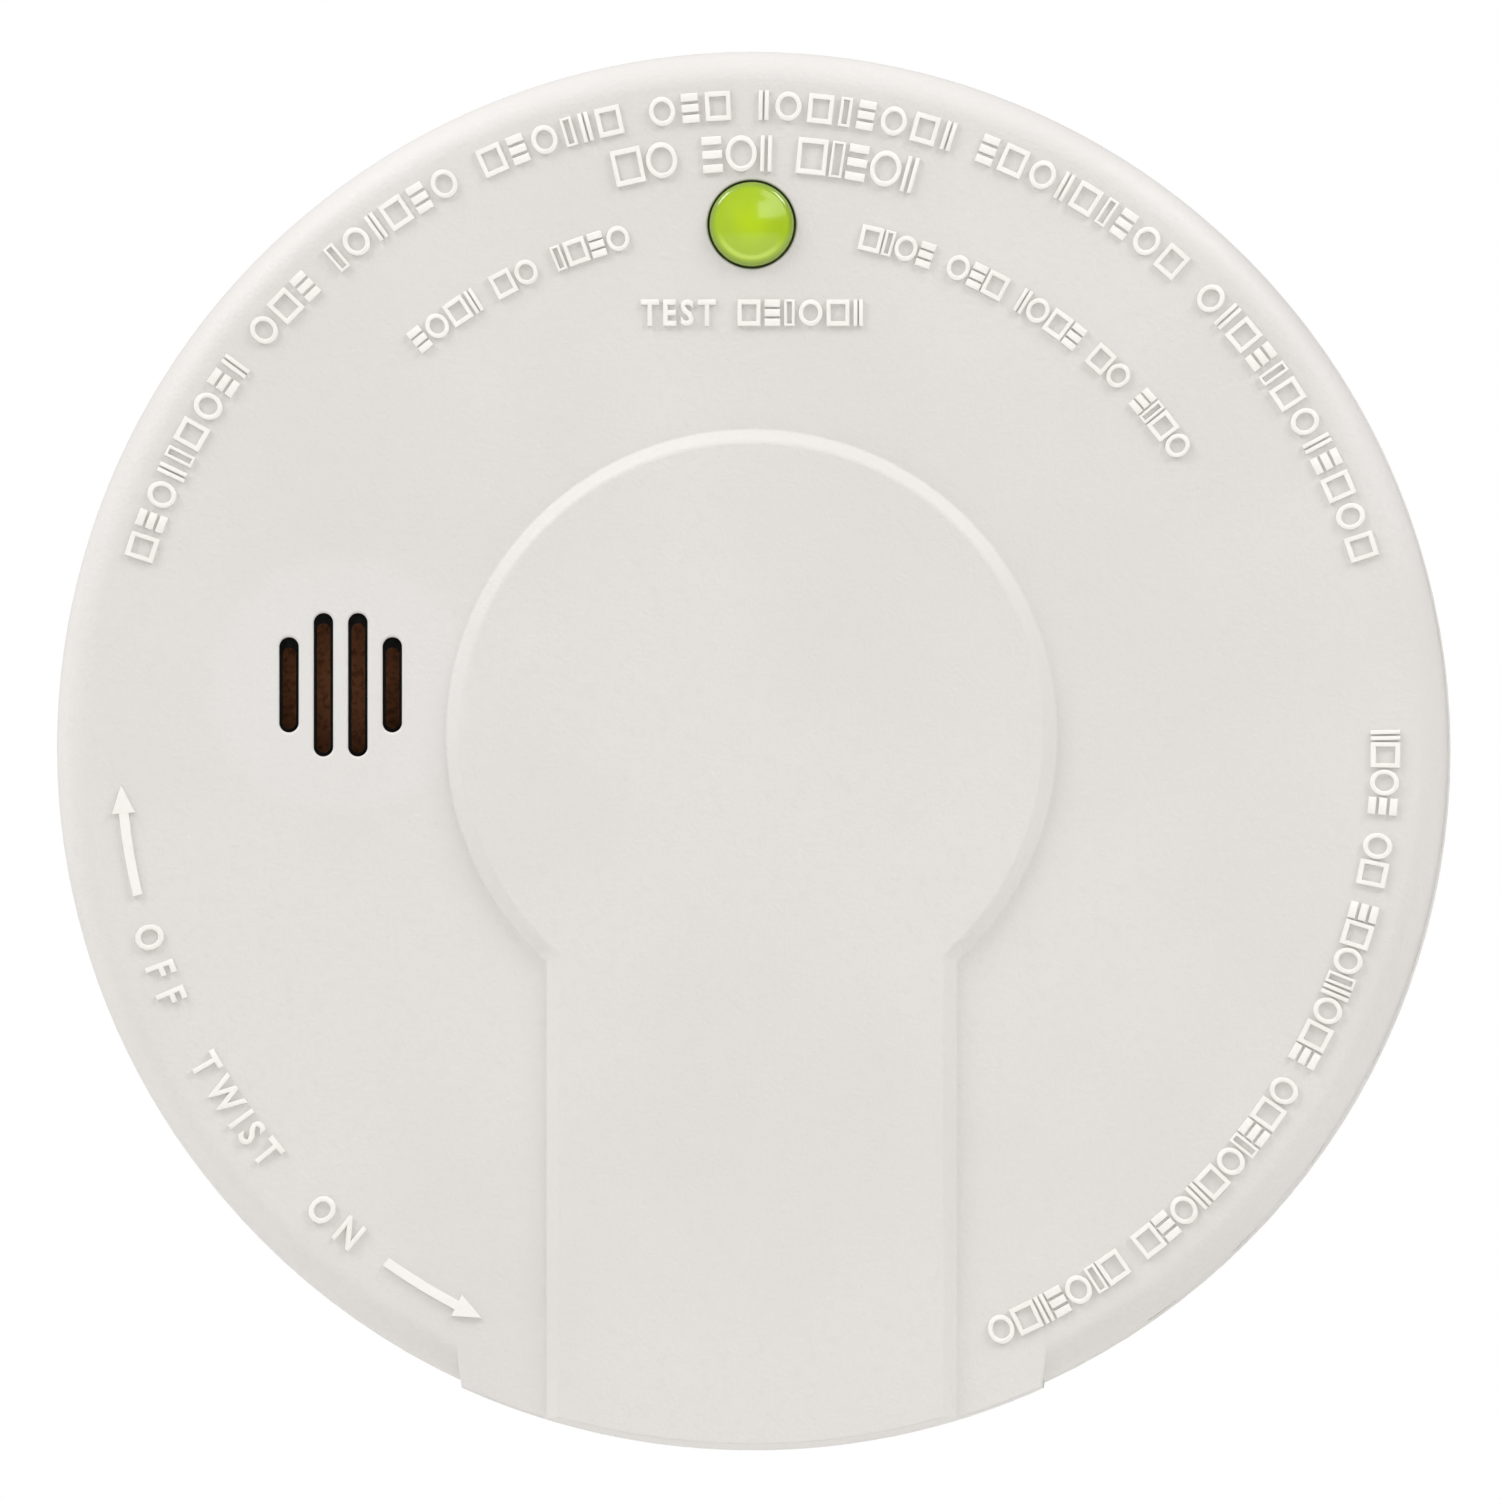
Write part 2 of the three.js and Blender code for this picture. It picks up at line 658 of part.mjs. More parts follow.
function addHorn(alarm) {
  const spot = groupAt(alarm, HORN_X, HORN_Y, 0);
  const outer = 16.5;
  const wall = 1.6;
  const low = 22;
  const ledge = 27;
  const top = FACE_Z - WALL - GAP;
  const section = [
    [outer - wall, low],
    [outer, low],
    [outer, top],
    [outer - wall, top],
    [outer - wall, ledge],
    [outer - wall - 2, ledge],
    [outer - wall - 2, ledge - 1.4],
    [outer - wall, ledge - 1.4],
    [outer - wall, low],
  ];
  let housing = turned(section, 28);
  for (const angle of [45, 165, 285].map(deg)) {
    const x = (outer - wall / 2) * Math.cos(angle);
    const y = (outer - wall / 2) * Math.sin(angle);
    housing = housing.add(cylinder(0.75, ON_BOARD, low + 1, x, y, 8));
  }
  place(spot, "resonator_housing", housing, FINISH.black);

  const discLow = ledge + GAP;
  place(spot, "piezo_disc", cylinder(outer - wall - 0.5, discLow, discLow + 0.4, 0, 0, 28), FINISH.brass);
  place(spot, "piezo_ceramic", cylinder(10, discLow - GAP - 0.3, discLow - GAP, 0, 0, 24), FINISH.ceramic);

  // Two bow springs press on the ceramic and one on the disc's rim.
  const contact = (reach) => {
    const bow = [
      [-3, ON_BOARD + 0.15],
      [0, ON_BOARD + 0.15],
      [2.2, (ON_BOARD + reach) / 2],
      [0.6, reach - 1.4],
      [-0.6, reach - 0.5],
      [-2, reach - 1],
    ];
    return strip(bow, 0.3, 2);
  };
  const ceramicBack = discLow - GAP - 0.3 - GAP;
  place(spot, "horn_contact_1", contact(ceramicBack), FINISH.steel, [4, 4, 0]);
  place(spot, "horn_contact_2", contact(ceramicBack), FINISH.steel, [4, -4, 0]);
  place(spot, "horn_contact_3", contact(discLow - GAP), FINISH.steel, [-11.5, 0, 0], Math.PI);
}

// ---------------------------------------------------------------- smoke chamber

function addChamber(alarm) {
  const spot = groupAt(alarm, CHAMBER_X, CHAMBER_Y, ON_BOARD);
  const sheet = 0.8;
  const height = CHAMBER_TOP_Z - ON_BOARD;
  const slots = 12;
  let can = cylinder(CHAMBER_RADIUS, 0, height, 0, 0, 36);
  can = can.subtract(cylinder(CHAMBER_RADIUS - sheet, -PAST, height - sheet, 0, 0, 36));
  for (let i = 0; i < slots; i++) {
    const low = [CHAMBER_RADIUS - 2 * sheet, -1.25, 8];
    const high = [CHAMBER_RADIUS + PAST, 1.25, height - 3];
    can = can.subtract(block(low, high).rotate([0, 0, (360 * i) / slots]));
  }
  place(spot, "chamber_can", can, FINISH.steel);

  const baseRadius = CHAMBER_RADIUS - sheet - GAP;
  const insulator = turned(
    [
      [0, 0],
      [baseRadius, 0],
      [baseRadius, 2],
      [11, 2],
      [11, 7.4],
      [9.6, 7.4],
      [9.6, 2],
      [0, 2],
    ],
    24,
  );
  place(spot, "chamber_insulator", insulator, FINISH.ceramic);
  const plate = tube(2.2, 10.6, 7.4 + GAP, 8.2 + GAP, 24);
  place(spot, "collector_plate", plate, FINISH.steel);
  const holder = turned(
    [
      [0, 2 + GAP],
      [4, 2 + GAP],
      [4, 3.2 + GAP],
      [3, 3.2 + GAP],
      [3, 4.2 + GAP],
      [0, 4.2 + GAP],
    ],
    16,
  );
  place(spot, "source_holder", holder, FINISH.steel);
  place(spot, "source_foil", cylinder(1.8, 4.2 + 2 * GAP, 4.5 + 2 * GAP, 0, 0, 16), FINISH.brass);
}

// ---------------------------------------------------------------- battery, contacts and finger

function addBattery(alarm) {
  const spot = groupAt(alarm, BATTERY_X, BATTERY_Y, BATTERY_BACK_Z + BATTERY_DEPTH / 2);
  const upright = (shape, from, to) => {
    const settings = { depth: to - from, bevelEnabled: false, curveSegments: 5 };
    const geometry = new THREE.ExtrudeGeometry(shape, settings).translate(0, 0, from);
    return solid(geometry.rotateX(Math.PI / 2).rotateZ(Math.PI / 2));
  };
  // The outlines' X runs along Y on the battery, and their Y along Z.
  const capLength = 1.4;
  const end = BATTERY_LENGTH / 2;
  const outline = roundRectangle(BATTERY_HEIGHT, BATTERY_DEPTH, 2);
  place(spot, "battery_case", upright(outline, -end, end - capLength - GAP), FINISH.wrap);
  const cap = roundRectangle(BATTERY_HEIGHT - 1.4, BATTERY_DEPTH - 1.4, 1.6);
  place(spot, "battery_end_cap", upright(cap, end - capLength, end), FINISH.black);
  const stud = (radius, segments) =>
    solid(
      new THREE.CylinderGeometry(radius, radius, TERMINAL_HEIGHT - GAP, segments)
        .rotateZ(Math.PI / 2)
        .translate(end + GAP + (TERMINAL_HEIGHT - GAP) / 2, 0, 0),
    );
  place(spot, "battery_terminal_positive", stud(2.85, 20), FINISH.steel, [0, TERMINAL_SPACING / 2, 0]);
  place(spot, "battery_terminal_negative", stud(4, 6), FINISH.steel, [0, -TERMINAL_SPACING / 2, 0]);
}

function addContacts(alarm) {
  const wallX = wellSize().right - GAP;
  const touchX = BATTERY_X + BATTERY_LENGTH / 2 + TERMINAL_HEIGHT + GAP;
  const leaf = [
    [wallX - 0.2, 24],
    [wallX - 0.2, 9],
    [wallX - 0.7, 8.2],
    [wallX - 1.1, 9],
    [touchX + 0.2, 16.2],
    [wallX - 0.9, 22.4],
  ];
  const y = BATTERY_Y;
  const half = TERMINAL_SPACING / 2;
  place(alarm, "battery_contact_positive", strip(leaf, 0.35, 5), FINISH.steel, [0, y + half, 0]);
  place(alarm, "battery_contact_negative", strip(leaf, 0.35, 5), FINISH.steel, [0, y - half, 0]);
}

function addFinger(alarm) {
  const spot = groupAt(alarm, FINGER_X, BATTERY_Y, FINGER_Z);
  const half = FINGER_WIDTH / 2;
  const low = -FINGER_THICKNESS / 2;
  let finger = block([0, -half, low], [FINGER_LENGTH, half, -low]);
  finger = finger.add(crossBar(EYE_RADIUS, FINGER_WIDTH, 0, 0));
  finger = finger.subtract(crossBar(PIN_RADIUS + 0.1, 2 * FINGER_WIDTH, 0, 0));
  finger = finger.subtract(block([-2 * EYE_RADIUS, -1.7, -2 * EYE_RADIUS], [4, 1.7, 2 * EYE_RADIUS]));
  place(spot, "reminder_finger", finger, FINISH.red);
  place(spot, "finger_pin", crossBar(PIN_RADIUS, FINGER_WIDTH + 3.4, 0, 0), FINISH.steel);

  const wire = 0.2;
  const winding = coil(PIN_RADIUS + GAP + wire, -1.1, 1.1, 3, wire, 8).rotate([90, 0, 0]);
  place(spot, "finger_spring", winding, FINISH.steel);
}

function addLabel(alarm) {
  const label = raised(roundRectangle(40, 17, 1.5), FLOOR_BACK_Z - 0.45, FLOOR_BACK_Z - 0.2, 4);
  place(alarm, "rating_label", label, FINISH.paper, [0, 20.5, 0]);
}

// ---------------------------------------------------------------- the whole object

const smokeAlarm = new THREE.Group();
smokeAlarm.rotation.x = Math.PI / 2;

place(smokeAlarm, "mounting_bracket", bracketBody(), FINISH.bracket);

const alarm = groupAt(smokeAlarm);
place(alarm, "base_housing", baseBody(), FINISH.shell);
place(alarm, "front_cover", coverBody(), FINISH.shell);
addLabel(alarm);
addBoard(alarm);
addElectronics(alarm);
addButton(alarm);
addHorn(alarm);
addChamber(alarm);
addBattery(alarm);
addContacts(alarm);
addFinger(alarm);

export default smokeAlarm;
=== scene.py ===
"""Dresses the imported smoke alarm: fine shells, markings and finishes around its fixed frame.

Sizes in the classes are millimetres on the bench, where the alarm lies face up: X to the right, Y
towards the top of the face and Z out of the wall. A finished piece is stood against the wall and
written in metres, in the frame's own axes.
"""

from __future__ import annotations

import logging
import math
from collections.abc import Iterator, Sequence
from dataclasses import dataclass, field
from enum import Enum

import bmesh
import bpy
from mathutils import Matrix, Vector


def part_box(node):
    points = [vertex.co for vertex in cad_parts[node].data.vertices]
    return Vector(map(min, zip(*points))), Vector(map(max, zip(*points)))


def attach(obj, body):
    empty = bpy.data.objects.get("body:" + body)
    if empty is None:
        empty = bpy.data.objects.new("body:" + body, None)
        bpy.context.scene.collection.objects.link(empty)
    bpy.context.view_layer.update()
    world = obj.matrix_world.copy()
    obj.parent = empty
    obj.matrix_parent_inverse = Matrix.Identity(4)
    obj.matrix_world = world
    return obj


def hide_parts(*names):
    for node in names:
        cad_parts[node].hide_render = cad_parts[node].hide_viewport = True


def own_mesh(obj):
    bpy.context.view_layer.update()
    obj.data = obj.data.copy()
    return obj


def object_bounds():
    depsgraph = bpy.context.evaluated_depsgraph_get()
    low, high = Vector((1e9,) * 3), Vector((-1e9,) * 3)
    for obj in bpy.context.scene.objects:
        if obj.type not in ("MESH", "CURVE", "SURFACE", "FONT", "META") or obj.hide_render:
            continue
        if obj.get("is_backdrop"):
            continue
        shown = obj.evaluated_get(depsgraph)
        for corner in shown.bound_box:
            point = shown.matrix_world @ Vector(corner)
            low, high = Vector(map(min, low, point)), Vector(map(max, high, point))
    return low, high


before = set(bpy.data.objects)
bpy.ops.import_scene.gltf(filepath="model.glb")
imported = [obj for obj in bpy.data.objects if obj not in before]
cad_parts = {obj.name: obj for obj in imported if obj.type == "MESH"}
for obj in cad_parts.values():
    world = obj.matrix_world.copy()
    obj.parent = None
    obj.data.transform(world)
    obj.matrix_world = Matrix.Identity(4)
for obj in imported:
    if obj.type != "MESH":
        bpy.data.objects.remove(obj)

log = logging.getLogger("smoke_alarm")

Point = tuple[float, float]
Solid = bmesh.types.BMesh
Tree = bpy.types.NodeTree
Node = bpy.types.Node
Socket = bpy.types.NodeSocket

CAD_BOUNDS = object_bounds()
MM = 0.001
BENCH_TO_FRAME = Matrix.Rotation(math.radians(90), 4, "X") @ Matrix.Scale(MM, 4)
PAST = 1.0  # how far a cutter runs past what it cuts
HOOK_ANGLES = (30.0, 150.0, 270.0)  # where the bayonet's hooks stand, in degrees
SUNK = 0.1  # how deep a raised mark's foot sits in the face


# ---------------------------------------------------------------- finishes


def linear(colour: str) -> tuple[float, float, float, float]:
    """Turns an sRGB hex colour to linear light.

    Args:
        colour: The colour, such as "#E2DFDB".

    Returns:
        Red, green, blue and an alpha of 1.
    """
    parts = [int(colour[i : i + 2], 16) / 255 for i in (1, 3, 5)]
    light = [p / 12.92 if p <= 0.04045 else ((p + 0.055) / 1.055) ** 2.4 for p in parts]
    return (*light, 1.0)


def add(
    tree: Tree,
    kind: str,
    inputs: dict[str | int, object] | None = None,
    **settings: object,
) -> Node:
    """Adds a shader node with its settings and links.

    Args:
        tree: The node tree to add to.
        kind: The node's type name.
        inputs: A value, or another node's output socket, for each input.
        **settings: The node's own properties.

    Returns:
        The new node.
    """
    made = tree.nodes.new(kind)
    for name, value in settings.items():
        setattr(made, name, value)
    for name, value in (inputs or {}).items():
        if isinstance(value, Socket):
            tree.links.new(value, made.inputs[name])
        else:
            made.inputs[name].default_value = value
    return made


def blend(tree: Tree, share: Socket, first: object, second: object) -> Socket:
    """Mixes two colours.

    Args:
        tree: The node tree to add to.
        share: How much of the second colour shows, from 0 to 1.
        first: A hex colour or a colour socket.
        second: A hex colour or a colour socket.

    Returns:
        The mixed colour's socket.
    """
    colours = [linear(c) if isinstance(c, str) else c for c in (first, second)]
    made = add(tree, "ShaderNodeMix", {0: share, 6: colours[0], 7: colours[1]}, data_type="RGBA")
    return made.outputs[2]


def noise(tree: Tree, place: Socket, size: float, detail: float = 3.0) -> Socket:
    """Makes a cloudy pattern.

    Args:
        tree: The node tree to add to.
        place: Coordinates in millimetres.
        size: The size of one cloud, in millimetres.
        detail: How many finer layers it has.

    Returns:
        The pattern's height socket, from 0 to 1.
    """
    made = add(tree, "ShaderNodeTexNoise", {"Vector": place, "Scale": 1 / size, "Detail": detail})
    return made.outputs[0]


def ramp(tree: Tree, value: Socket, low: float, high: float) -> Socket:
    """Stretches the part of a value between two levels smoothly to 0 and 1.

    Args:
        tree: The node tree to add to.
        value: The value to stretch.
        low: What becomes 0.
        high: What becomes 1.

    Returns:
        The stretched value's socket.
    """
    inputs = {"Value": value, "From Min": low, "From Max": high}
    return add(tree, "ShaderNodeMapRange", inputs, interpolation_type="SMOOTHSTEP").outputs[0]


def number(tree: Tree, operation: str, *values: object) -> Socket:
    """Does one sum on numbers, each a value or a socket."""
    return add(tree, "ShaderNodeMath", dict(enumerate(values)), operation=operation).outputs[0]


def vector(tree: Tree, operation: str, *values: object) -> Socket:
    """Does one sum on vectors, each a value or a socket, and gives its vector or its number."""
    made = add(tree, "ShaderNodeVectorMath", dict(enumerate(values)), operation=operation)
    return made.outputs["Value" if operation in ("LENGTH", "DISTANCE", "DOT_PRODUCT") else "Vector"]


@dataclass(frozen=True)
class Finish:
    """What a surface is made of, and how it was made."""

    name: str

    def make(self) -> bpy.types.Material:
        """Makes the material, or finds it if it is made already.

        Returns:
            The material, whose patterns are in millimetres on the piece.
        """
        found = bpy.data.materials.get(self.name)
        if found:
            return found
        material = bpy.data.materials.new(self.name)
        material.use_nodes = True
        tree = material.node_tree
        tree.nodes.clear()
        place = add(tree, "ShaderNodeTexCoord").outputs["Object"]
        scaled = add(tree, "ShaderNodeMapping", {"Vector": place, "Scale": (1 / MM,) * 3})
        shader = add(tree, "ShaderNodeBsdfPrincipled")
        add(tree, "ShaderNodeOutputMaterial", {"Surface": shader.outputs["BSDF"]})
        self.paint(tree, shader, scaled.outputs["Vector"])
        return material

    def paint(self, tree: Tree, shader: Node, place: Socket) -> None:
        """Adds the finish's own nodes.

        Args:
            tree: The material's node tree.
            shader: Its surface shader.
            place: Coordinates in millimetres.
        """
        raise NotImplementedError

    def skin(
        self, tree: Tree, shader: Node, colour: Socket, roughness: float | Socket, **others: float
    ) -> None:
        """Sets the surface's colour and roughness.

        Args:
            tree: The material's node tree.
            shader: Its surface shader.
            colour: The colour.
            roughness: How rough it is, from 0 to 1.
            **others: The shader's other inputs, with _ for each space.
        """
        tree.links.new(colour, shader.inputs["Base Color"])
        if isinstance(roughness, Socket):
            tree.links.new(roughness, shader.inputs["Roughness"])
        else:
            shader.inputs["Roughness"].default_value = roughness
        for name, value in others.items():
            shader.inputs[name.replace("_", " ")].default_value = value

    def uneven(self, tree: Tree, pattern: Socket, low: float, high: float) -> Socket:
        """Spreads a pattern evenly between two levels of roughness."""
        return add(tree, "ShaderNodeMapRange", {"Value": pattern, "To Min": low, "To Max": high}).outputs[0]

    def texture(self, tree: Tree, shader: Node, height: Socket, depth: float) -> None:
        """Raises a pattern by a real depth in millimetres.

        Args:
            tree: The material's node tree.
            shader: Its surface shader.
            height: The pattern's height, from 0 to 1.
            depth: What a height of 1 stands for, in millimetres.
        """
        bump = add(tree, "ShaderNodeBump", {"Height": height, "Strength": 1.0, "Distance": depth * MM})
        tree.links.new(bump.outputs["Normal"], shader.inputs["Normal"])


@dataclass(frozen=True)
class MouldedPlastic(Finish):
    """Injection-moulded ABS from a spark-eroded mould: fine matt pits, and a faintly uneven tone."""

    colour: str = "#D6D3D0"
    shade: str = "#D3CFCC"
    roughness: float = 0.5
    grain: float = 0.45
    depth: float = 0.065
    cloud: float = 30.0

    def paint(self, tree: Tree, shader: Node, place: Socket) -> None:
        """Adds the pits, the flecks and the slow change of tone.

        Args:
            tree: The material's node tree.
            shader: Its surface shader.
            place: Coordinates in millimetres.
        """
        pits = noise(tree, place, self.grain, 4.0)
        clouds = ramp(tree, noise(tree, place, self.cloud, 2.0), 0.35, 0.7)
        tone = blend(tree, clouds, self.colour, self.shade)
        flecks = ramp(tree, noise(tree, place, self.grain * 2.2, 2.0), 0.52, 0.72)
        fleck = blend(tree, number(tree, "MULTIPLY", flecks, 0.6), tone, self.shade)
        gloss = self.uneven(tree, pits, self.roughness - 0.06, self.roughness + 0.08)
        self.skin(tree, shader, fleck, gloss, IOR=1.53)
        self.texture(tree, shader, pits, self.depth)


@dataclass(frozen=True)
class FacePlastic(MouldedPlastic):
    """The cover's ABS, with a paler round patch over the sounder."""

    patch: str = "#D8D6D3"
    patch_x: float = 0.0
    patch_z: float = 0.0
    patch_radius: float = 13.0

    def paint(self, tree: Tree, shader: Node, place: Socket) -> None:
        """Adds the plastic, then the paler round patch.

        Args:
            tree: The material's node tree.
            shader: Its surface shader.
            place: Coordinates in millimetres.
        """
        super().paint(tree, shader, place)
        # Only the colour is made paler inside the patch; roughness and pits stay the same.
        flat = vector(tree, "MULTIPLY", place, (1, 0, 1))
        away = vector(tree, "DISTANCE", flat, (self.patch_x, 0, self.patch_z))
        ragged = number(tree, "MULTIPLY_ADD", noise(tree, place, 5.0), 3.0, away)
        inside = ramp(tree, ragged, self.patch_radius + 3.0, self.patch_radius)
        old = shader.inputs["Base Color"].links[0].from_socket
        share = number(tree, "MULTIPLY", inside, 0.55)
        tree.links.new(blend(tree, share, old, self.patch), shader.inputs["Base Color"])


@dataclass(frozen=True)
class LightPipeAcrylic(Finish):
    """Dyed acrylic, polished: yellow-green, darker towards its rim, with a painted glow on the lower side
    of a ring inside the rim.
    """

    middle: str = "#AECC06"
    body: str = "#A0BD0A"
    painted_glow: str = "#B9D24C"
    rim: str = "#7F9A1C"
    centre_z: float = 53.1
    radius: float = 4.5

    def paint(self, tree: Tree, shader: Node, place: Socket) -> None:
        """Adds the tone from the paler middle to the darker rim, and the painted glow.

        Args:
            tree: The material's node tree.
            shader: Its surface shader.
            place: Coordinates in millimetres.
        """
        size = self.radius
        out = vector(tree, "SUBTRACT", place, (0, 0, self.centre_z))
        flat = vector(tree, "MULTIPLY", out, (1, 0, 1))
        away = vector(tree, "LENGTH", flat)
        wobble = number(tree, "MULTIPLY_ADD", noise(tree, place, 2.5), 1.2, away)
        # Painted glow: a ring brightest on its lower side stands in for light gathered through the acrylic.
        side = vector(tree, "DOT_PRODUCT", flat, (-0.15, 0, -0.99))
        lit = ramp(tree, side, size * 0.22, size * 0.66)
        within = ramp(tree, away, size * 0.86, size * 0.81)
        ring = number(tree, "MULTIPLY", ramp(tree, away, size * 0.71, size * 0.77), within)
        # Paler in the middle, darker towards the rim.
        colour = blend(tree, ramp(tree, wobble, 0.9, size * 0.85), self.middle, self.body)
        colour = blend(tree, ramp(tree, away, size * 0.82, size * 0.96), colour, self.rim)
        colour = blend(tree, number(tree, "MULTIPLY", ring, lit), colour, self.painted_glow)
        self.skin(tree, shader, colour, 0.22, IOR=1.49, Coat_Weight=0.6, Coat_Roughness=0.08)
        self.texture(tree, shader, noise(tree, place, 3.0, 1.0), 0.02)


@dataclass(frozen=True)
class PlainMetal(Finish):
    """Sheet or wire metal as it leaves the press: bright, with fine rolling lines and dull patches."""

    colour: str = "#C9CBCD"
    stain: str = "#9A9DA0"
    roughness: float = 0.3
    line: float = 0.12
    patch: float = 3.0

    def paint(self, tree: Tree, shader: Node, place: Socket) -> None:
        """Adds the dull patches and the rolling lines.

        Args:
            tree: The material's node tree.
            shader: Its surface shader.
            place: Coordinates in millimetres.
        """
        patches = ramp(tree, noise(tree, place, self.patch, 4.0), 0.4, 0.75)
        lines = noise(tree, vector(tree, "MULTIPLY", place, (0.08, 1, 1)), self.line, 2.0)
        gloss = self.uneven(tree, lines, self.roughness - 0.08, self.roughness + 0.12)
        self.skin(tree, shader, blend(tree, patches, self.colour, self.stain), gloss, Metallic=1.0)
        self.texture(tree, shader, lines, 0.003)


@dataclass(frozen=True)
class CastResin(Finish):
    """Moulded or dipped resin: one even colour with a soft skin and a few paler scuffs."""

    colour: str = "#1A1B1D"
    scuff: str = "#2C2E31"
    roughness: float = 0.4
    grain: float = 0.3
    depth: float = 0.006

    def paint(self, tree: Tree, shader: Node, place: Socket) -> None:
        """Adds the scuffs and the skin.

        Args:
            tree: The material's node tree.
            shader: Its surface shader.
            place: Coordinates in millimetres.
        """
        scuffs = ramp(tree, noise(tree, place, 2.5, 5.0), 0.5, 0.8)
        self.skin(tree, shader, blend(tree, scuffs, self.colour, self.scuff), self.roughness)
        self.texture(tree, shader, noise(tree, place, self.grain), self.depth)


@dataclass(frozen=True)
class BandedSkin(Finish):
    """A printed skin of one colour, with bands of others across its length."""

    bands: tuple[tuple[float, float, str], ...]
    colour: str = "#26282C"
    worn: str = "#2E3035"
    roughness: float = 0.28
    metallic: float = 0.55

    def paint(self, tree: Tree, shader: Node, place: Socket) -> None:
        """Adds the skin, its bands and its print grain.

        Args:
            tree: The material's node tree.
            shader: Its surface shader.
            place: Coordinates in millimetres.
        """
        where = add(tree, "ShaderNodeSeparateXYZ", {"Vector": place}).outputs["X"]
        fade = ramp(tree, noise(tree, place, 4.0, 4.0), 0.45, 0.8)
        colour = blend(tree, fade, self.colour, self.worn)
        soft = 0.06
        for low, high, band in self.bands:
            below = ramp(tree, where, high + soft, high - soft)
            both = number(tree, "MULTIPLY", ramp(tree, where, low - soft, low + soft), below)
            colour = blend(tree, both, colour, band)
        self.skin(tree, shader, colour, self.roughness, Metallic=self.metallic)
        self.texture(tree, shader, noise(tree, place, 0.6), 0.004)


@dataclass(frozen=True)
class BoardLaminate(Finish):
    """Glass-fibre board under green solder mask: woven below, with copper tracks as paler lines."""

    mask: str = "#2F6B3A"
    track: str = "#4C8A4A"
    pitch: float = 2.54

    def paint(self, tree: Tree, shader: Node, place: Socket) -> None:
        """Adds the tracks and the weave.

        Args:
            tree: The material's node tree.
            shader: Its surface shader.
            place: Coordinates in millimetres.
        """
        grid = {"Vector": place, "Scale": 0.35 / self.pitch}
        cells = add(tree, "ShaderNodeTexVoronoi", grid, feature="DISTANCE_TO_EDGE")
        tracks = ramp(tree, cells.outputs["Distance"], 0.09, 0.05)
        self.skin(tree, shader, blend(tree, tracks, self.mask, self.track), 0.3, Coat_Weight=0.5)
        self.texture(tree, shader, tracks, 0.03)


@dataclass(frozen=True)
class PrintedLabel(Finish):
    """White polyester label: satin, with rows of grey bars in place of print."""

    paper: str = "#EFEEEA"
    ink: str = "#6E7275"
    row: float = 1.2

    def paint(self, tree: Tree, shader: Node, place: Socket) -> None:
        """Adds the rows of bars.

        Args:
            tree: The material's node tree.
            shader: Its surface shader.
            place: Coordinates in millimetres.
        """
        stretched = vector(tree, "MULTIPLY", place, (0.22, 0, 0))
        height = add(tree, "ShaderNodeSeparateXYZ", {"Vector": place}).outputs["Z"]
        line = ramp(tree, number(tree, "PINGPONG", height, self.row), self.row * 0.62, self.row * 0.66)
        step = number(tree, "SNAP", height, 2 * self.row)
        shift = add(tree, "ShaderNodeCombineXYZ", {"X": step, "Y": step}).outputs[0]
        words = ramp(tree, noise(tree, vector(tree, "ADD", stretched, shift), 1.0, 1.0), 0.46, 0.48)
        ink = number(tree, "MULTIPLY", line, words)
        self.skin(tree, shader, blend(tree, ink, self.paper, self.ink), 0.38)
        self.texture(tree, shader, noise(tree, place, 0.8), 0.003)


# ---------------------------------------------------------------- shapes on the bench


class Join(Enum):
    """How one solid is worked with another."""

    ADD = "UNION"
    CUT = "DIFFERENCE"


def arc(centre: Point, radius: float, start: float, end: float, steps: int) -> list[Point]:
    """Draws an arc.

    Args:
        centre: The arc's middle.
        radius: Its radius.
        start: The first point's angle, in degrees.
        end: The last point's angle, in degrees.
        steps: How many straight steps it has.

    Returns:
        Its points, both ends included.
    """
    angles = [math.radians(start + (end - start) * i / steps) for i in range(steps + 1)]
    return [(centre[0] + radius * math.cos(a), centre[1] + radius * math.sin(a)) for a in angles]


def sealed(solid: Solid) -> Solid:
    """Merges doubled points and turns the faces outwards.

    Args:
        solid: The solid to close.

    Returns:
        The same solid.
    """
    bmesh.ops.remove_doubles(solid, verts=solid.verts, dist=1e-4)
    bmesh.ops.recalc_face_normals(solid, faces=solid.faces)
    return solid


def spun(solid: Solid, geom: list, angle: float, steps: int, z: float = 0.0, **more: object) -> list:
    """Sweeps part of a solid round an axis along Z.

    Args:
        solid: The solid that the part belongs to.
        geom: The part.
        angle: How far it is swept, in radians.
        steps: How many steps the sweep has.
        z: Its height.
        **more: Other settings of the sweep.

    Returns:
        What stands at the sweep's end.
    """
    settings = {"cent": (0, 0, z), "axis": (0, 0, 1), "angle": angle, "steps": steps, **more}
    return bmesh.ops.spin(solid, geom=geom, **settings)["geom_last"]


def softened(solid: Solid, edges: list[bmesh.types.BMEdge], offset: float, segments: int = 2) -> Solid:
    """Rounds some edges of a solid, by so many millimetres and in so many steps.

    Args:
        solid: The solid that the edges belong to.
        edges: The edges.
        offset: How far the rounding reaches from each edge.
        segments: How many steps it has.

    Returns:
        The same solid.
    """
    settings = {"profile": 0.5, "material": -1, "affect": "EDGES"}
    bmesh.ops.bevel(solid, geom=edges, offset=offset, segments=segments, **settings)
    return solid


def raised(solid: Solid, by: float) -> Solid:
    """Extrudes a flat face along Z to a closed solid.

    Args:
        solid: The flat face.
        by: How far it is drawn up Z.

    Returns:
        The same solid, closed.
    """
    made = bmesh.ops.extrude_face_region(solid, geom=solid.faces[:])
    ends = [v for v in made["geom"] if isinstance(v, bmesh.types.BMVert)]
    bmesh.ops.translate(solid, vec=(0, 0, by), verts=ends)
    return sealed(solid)


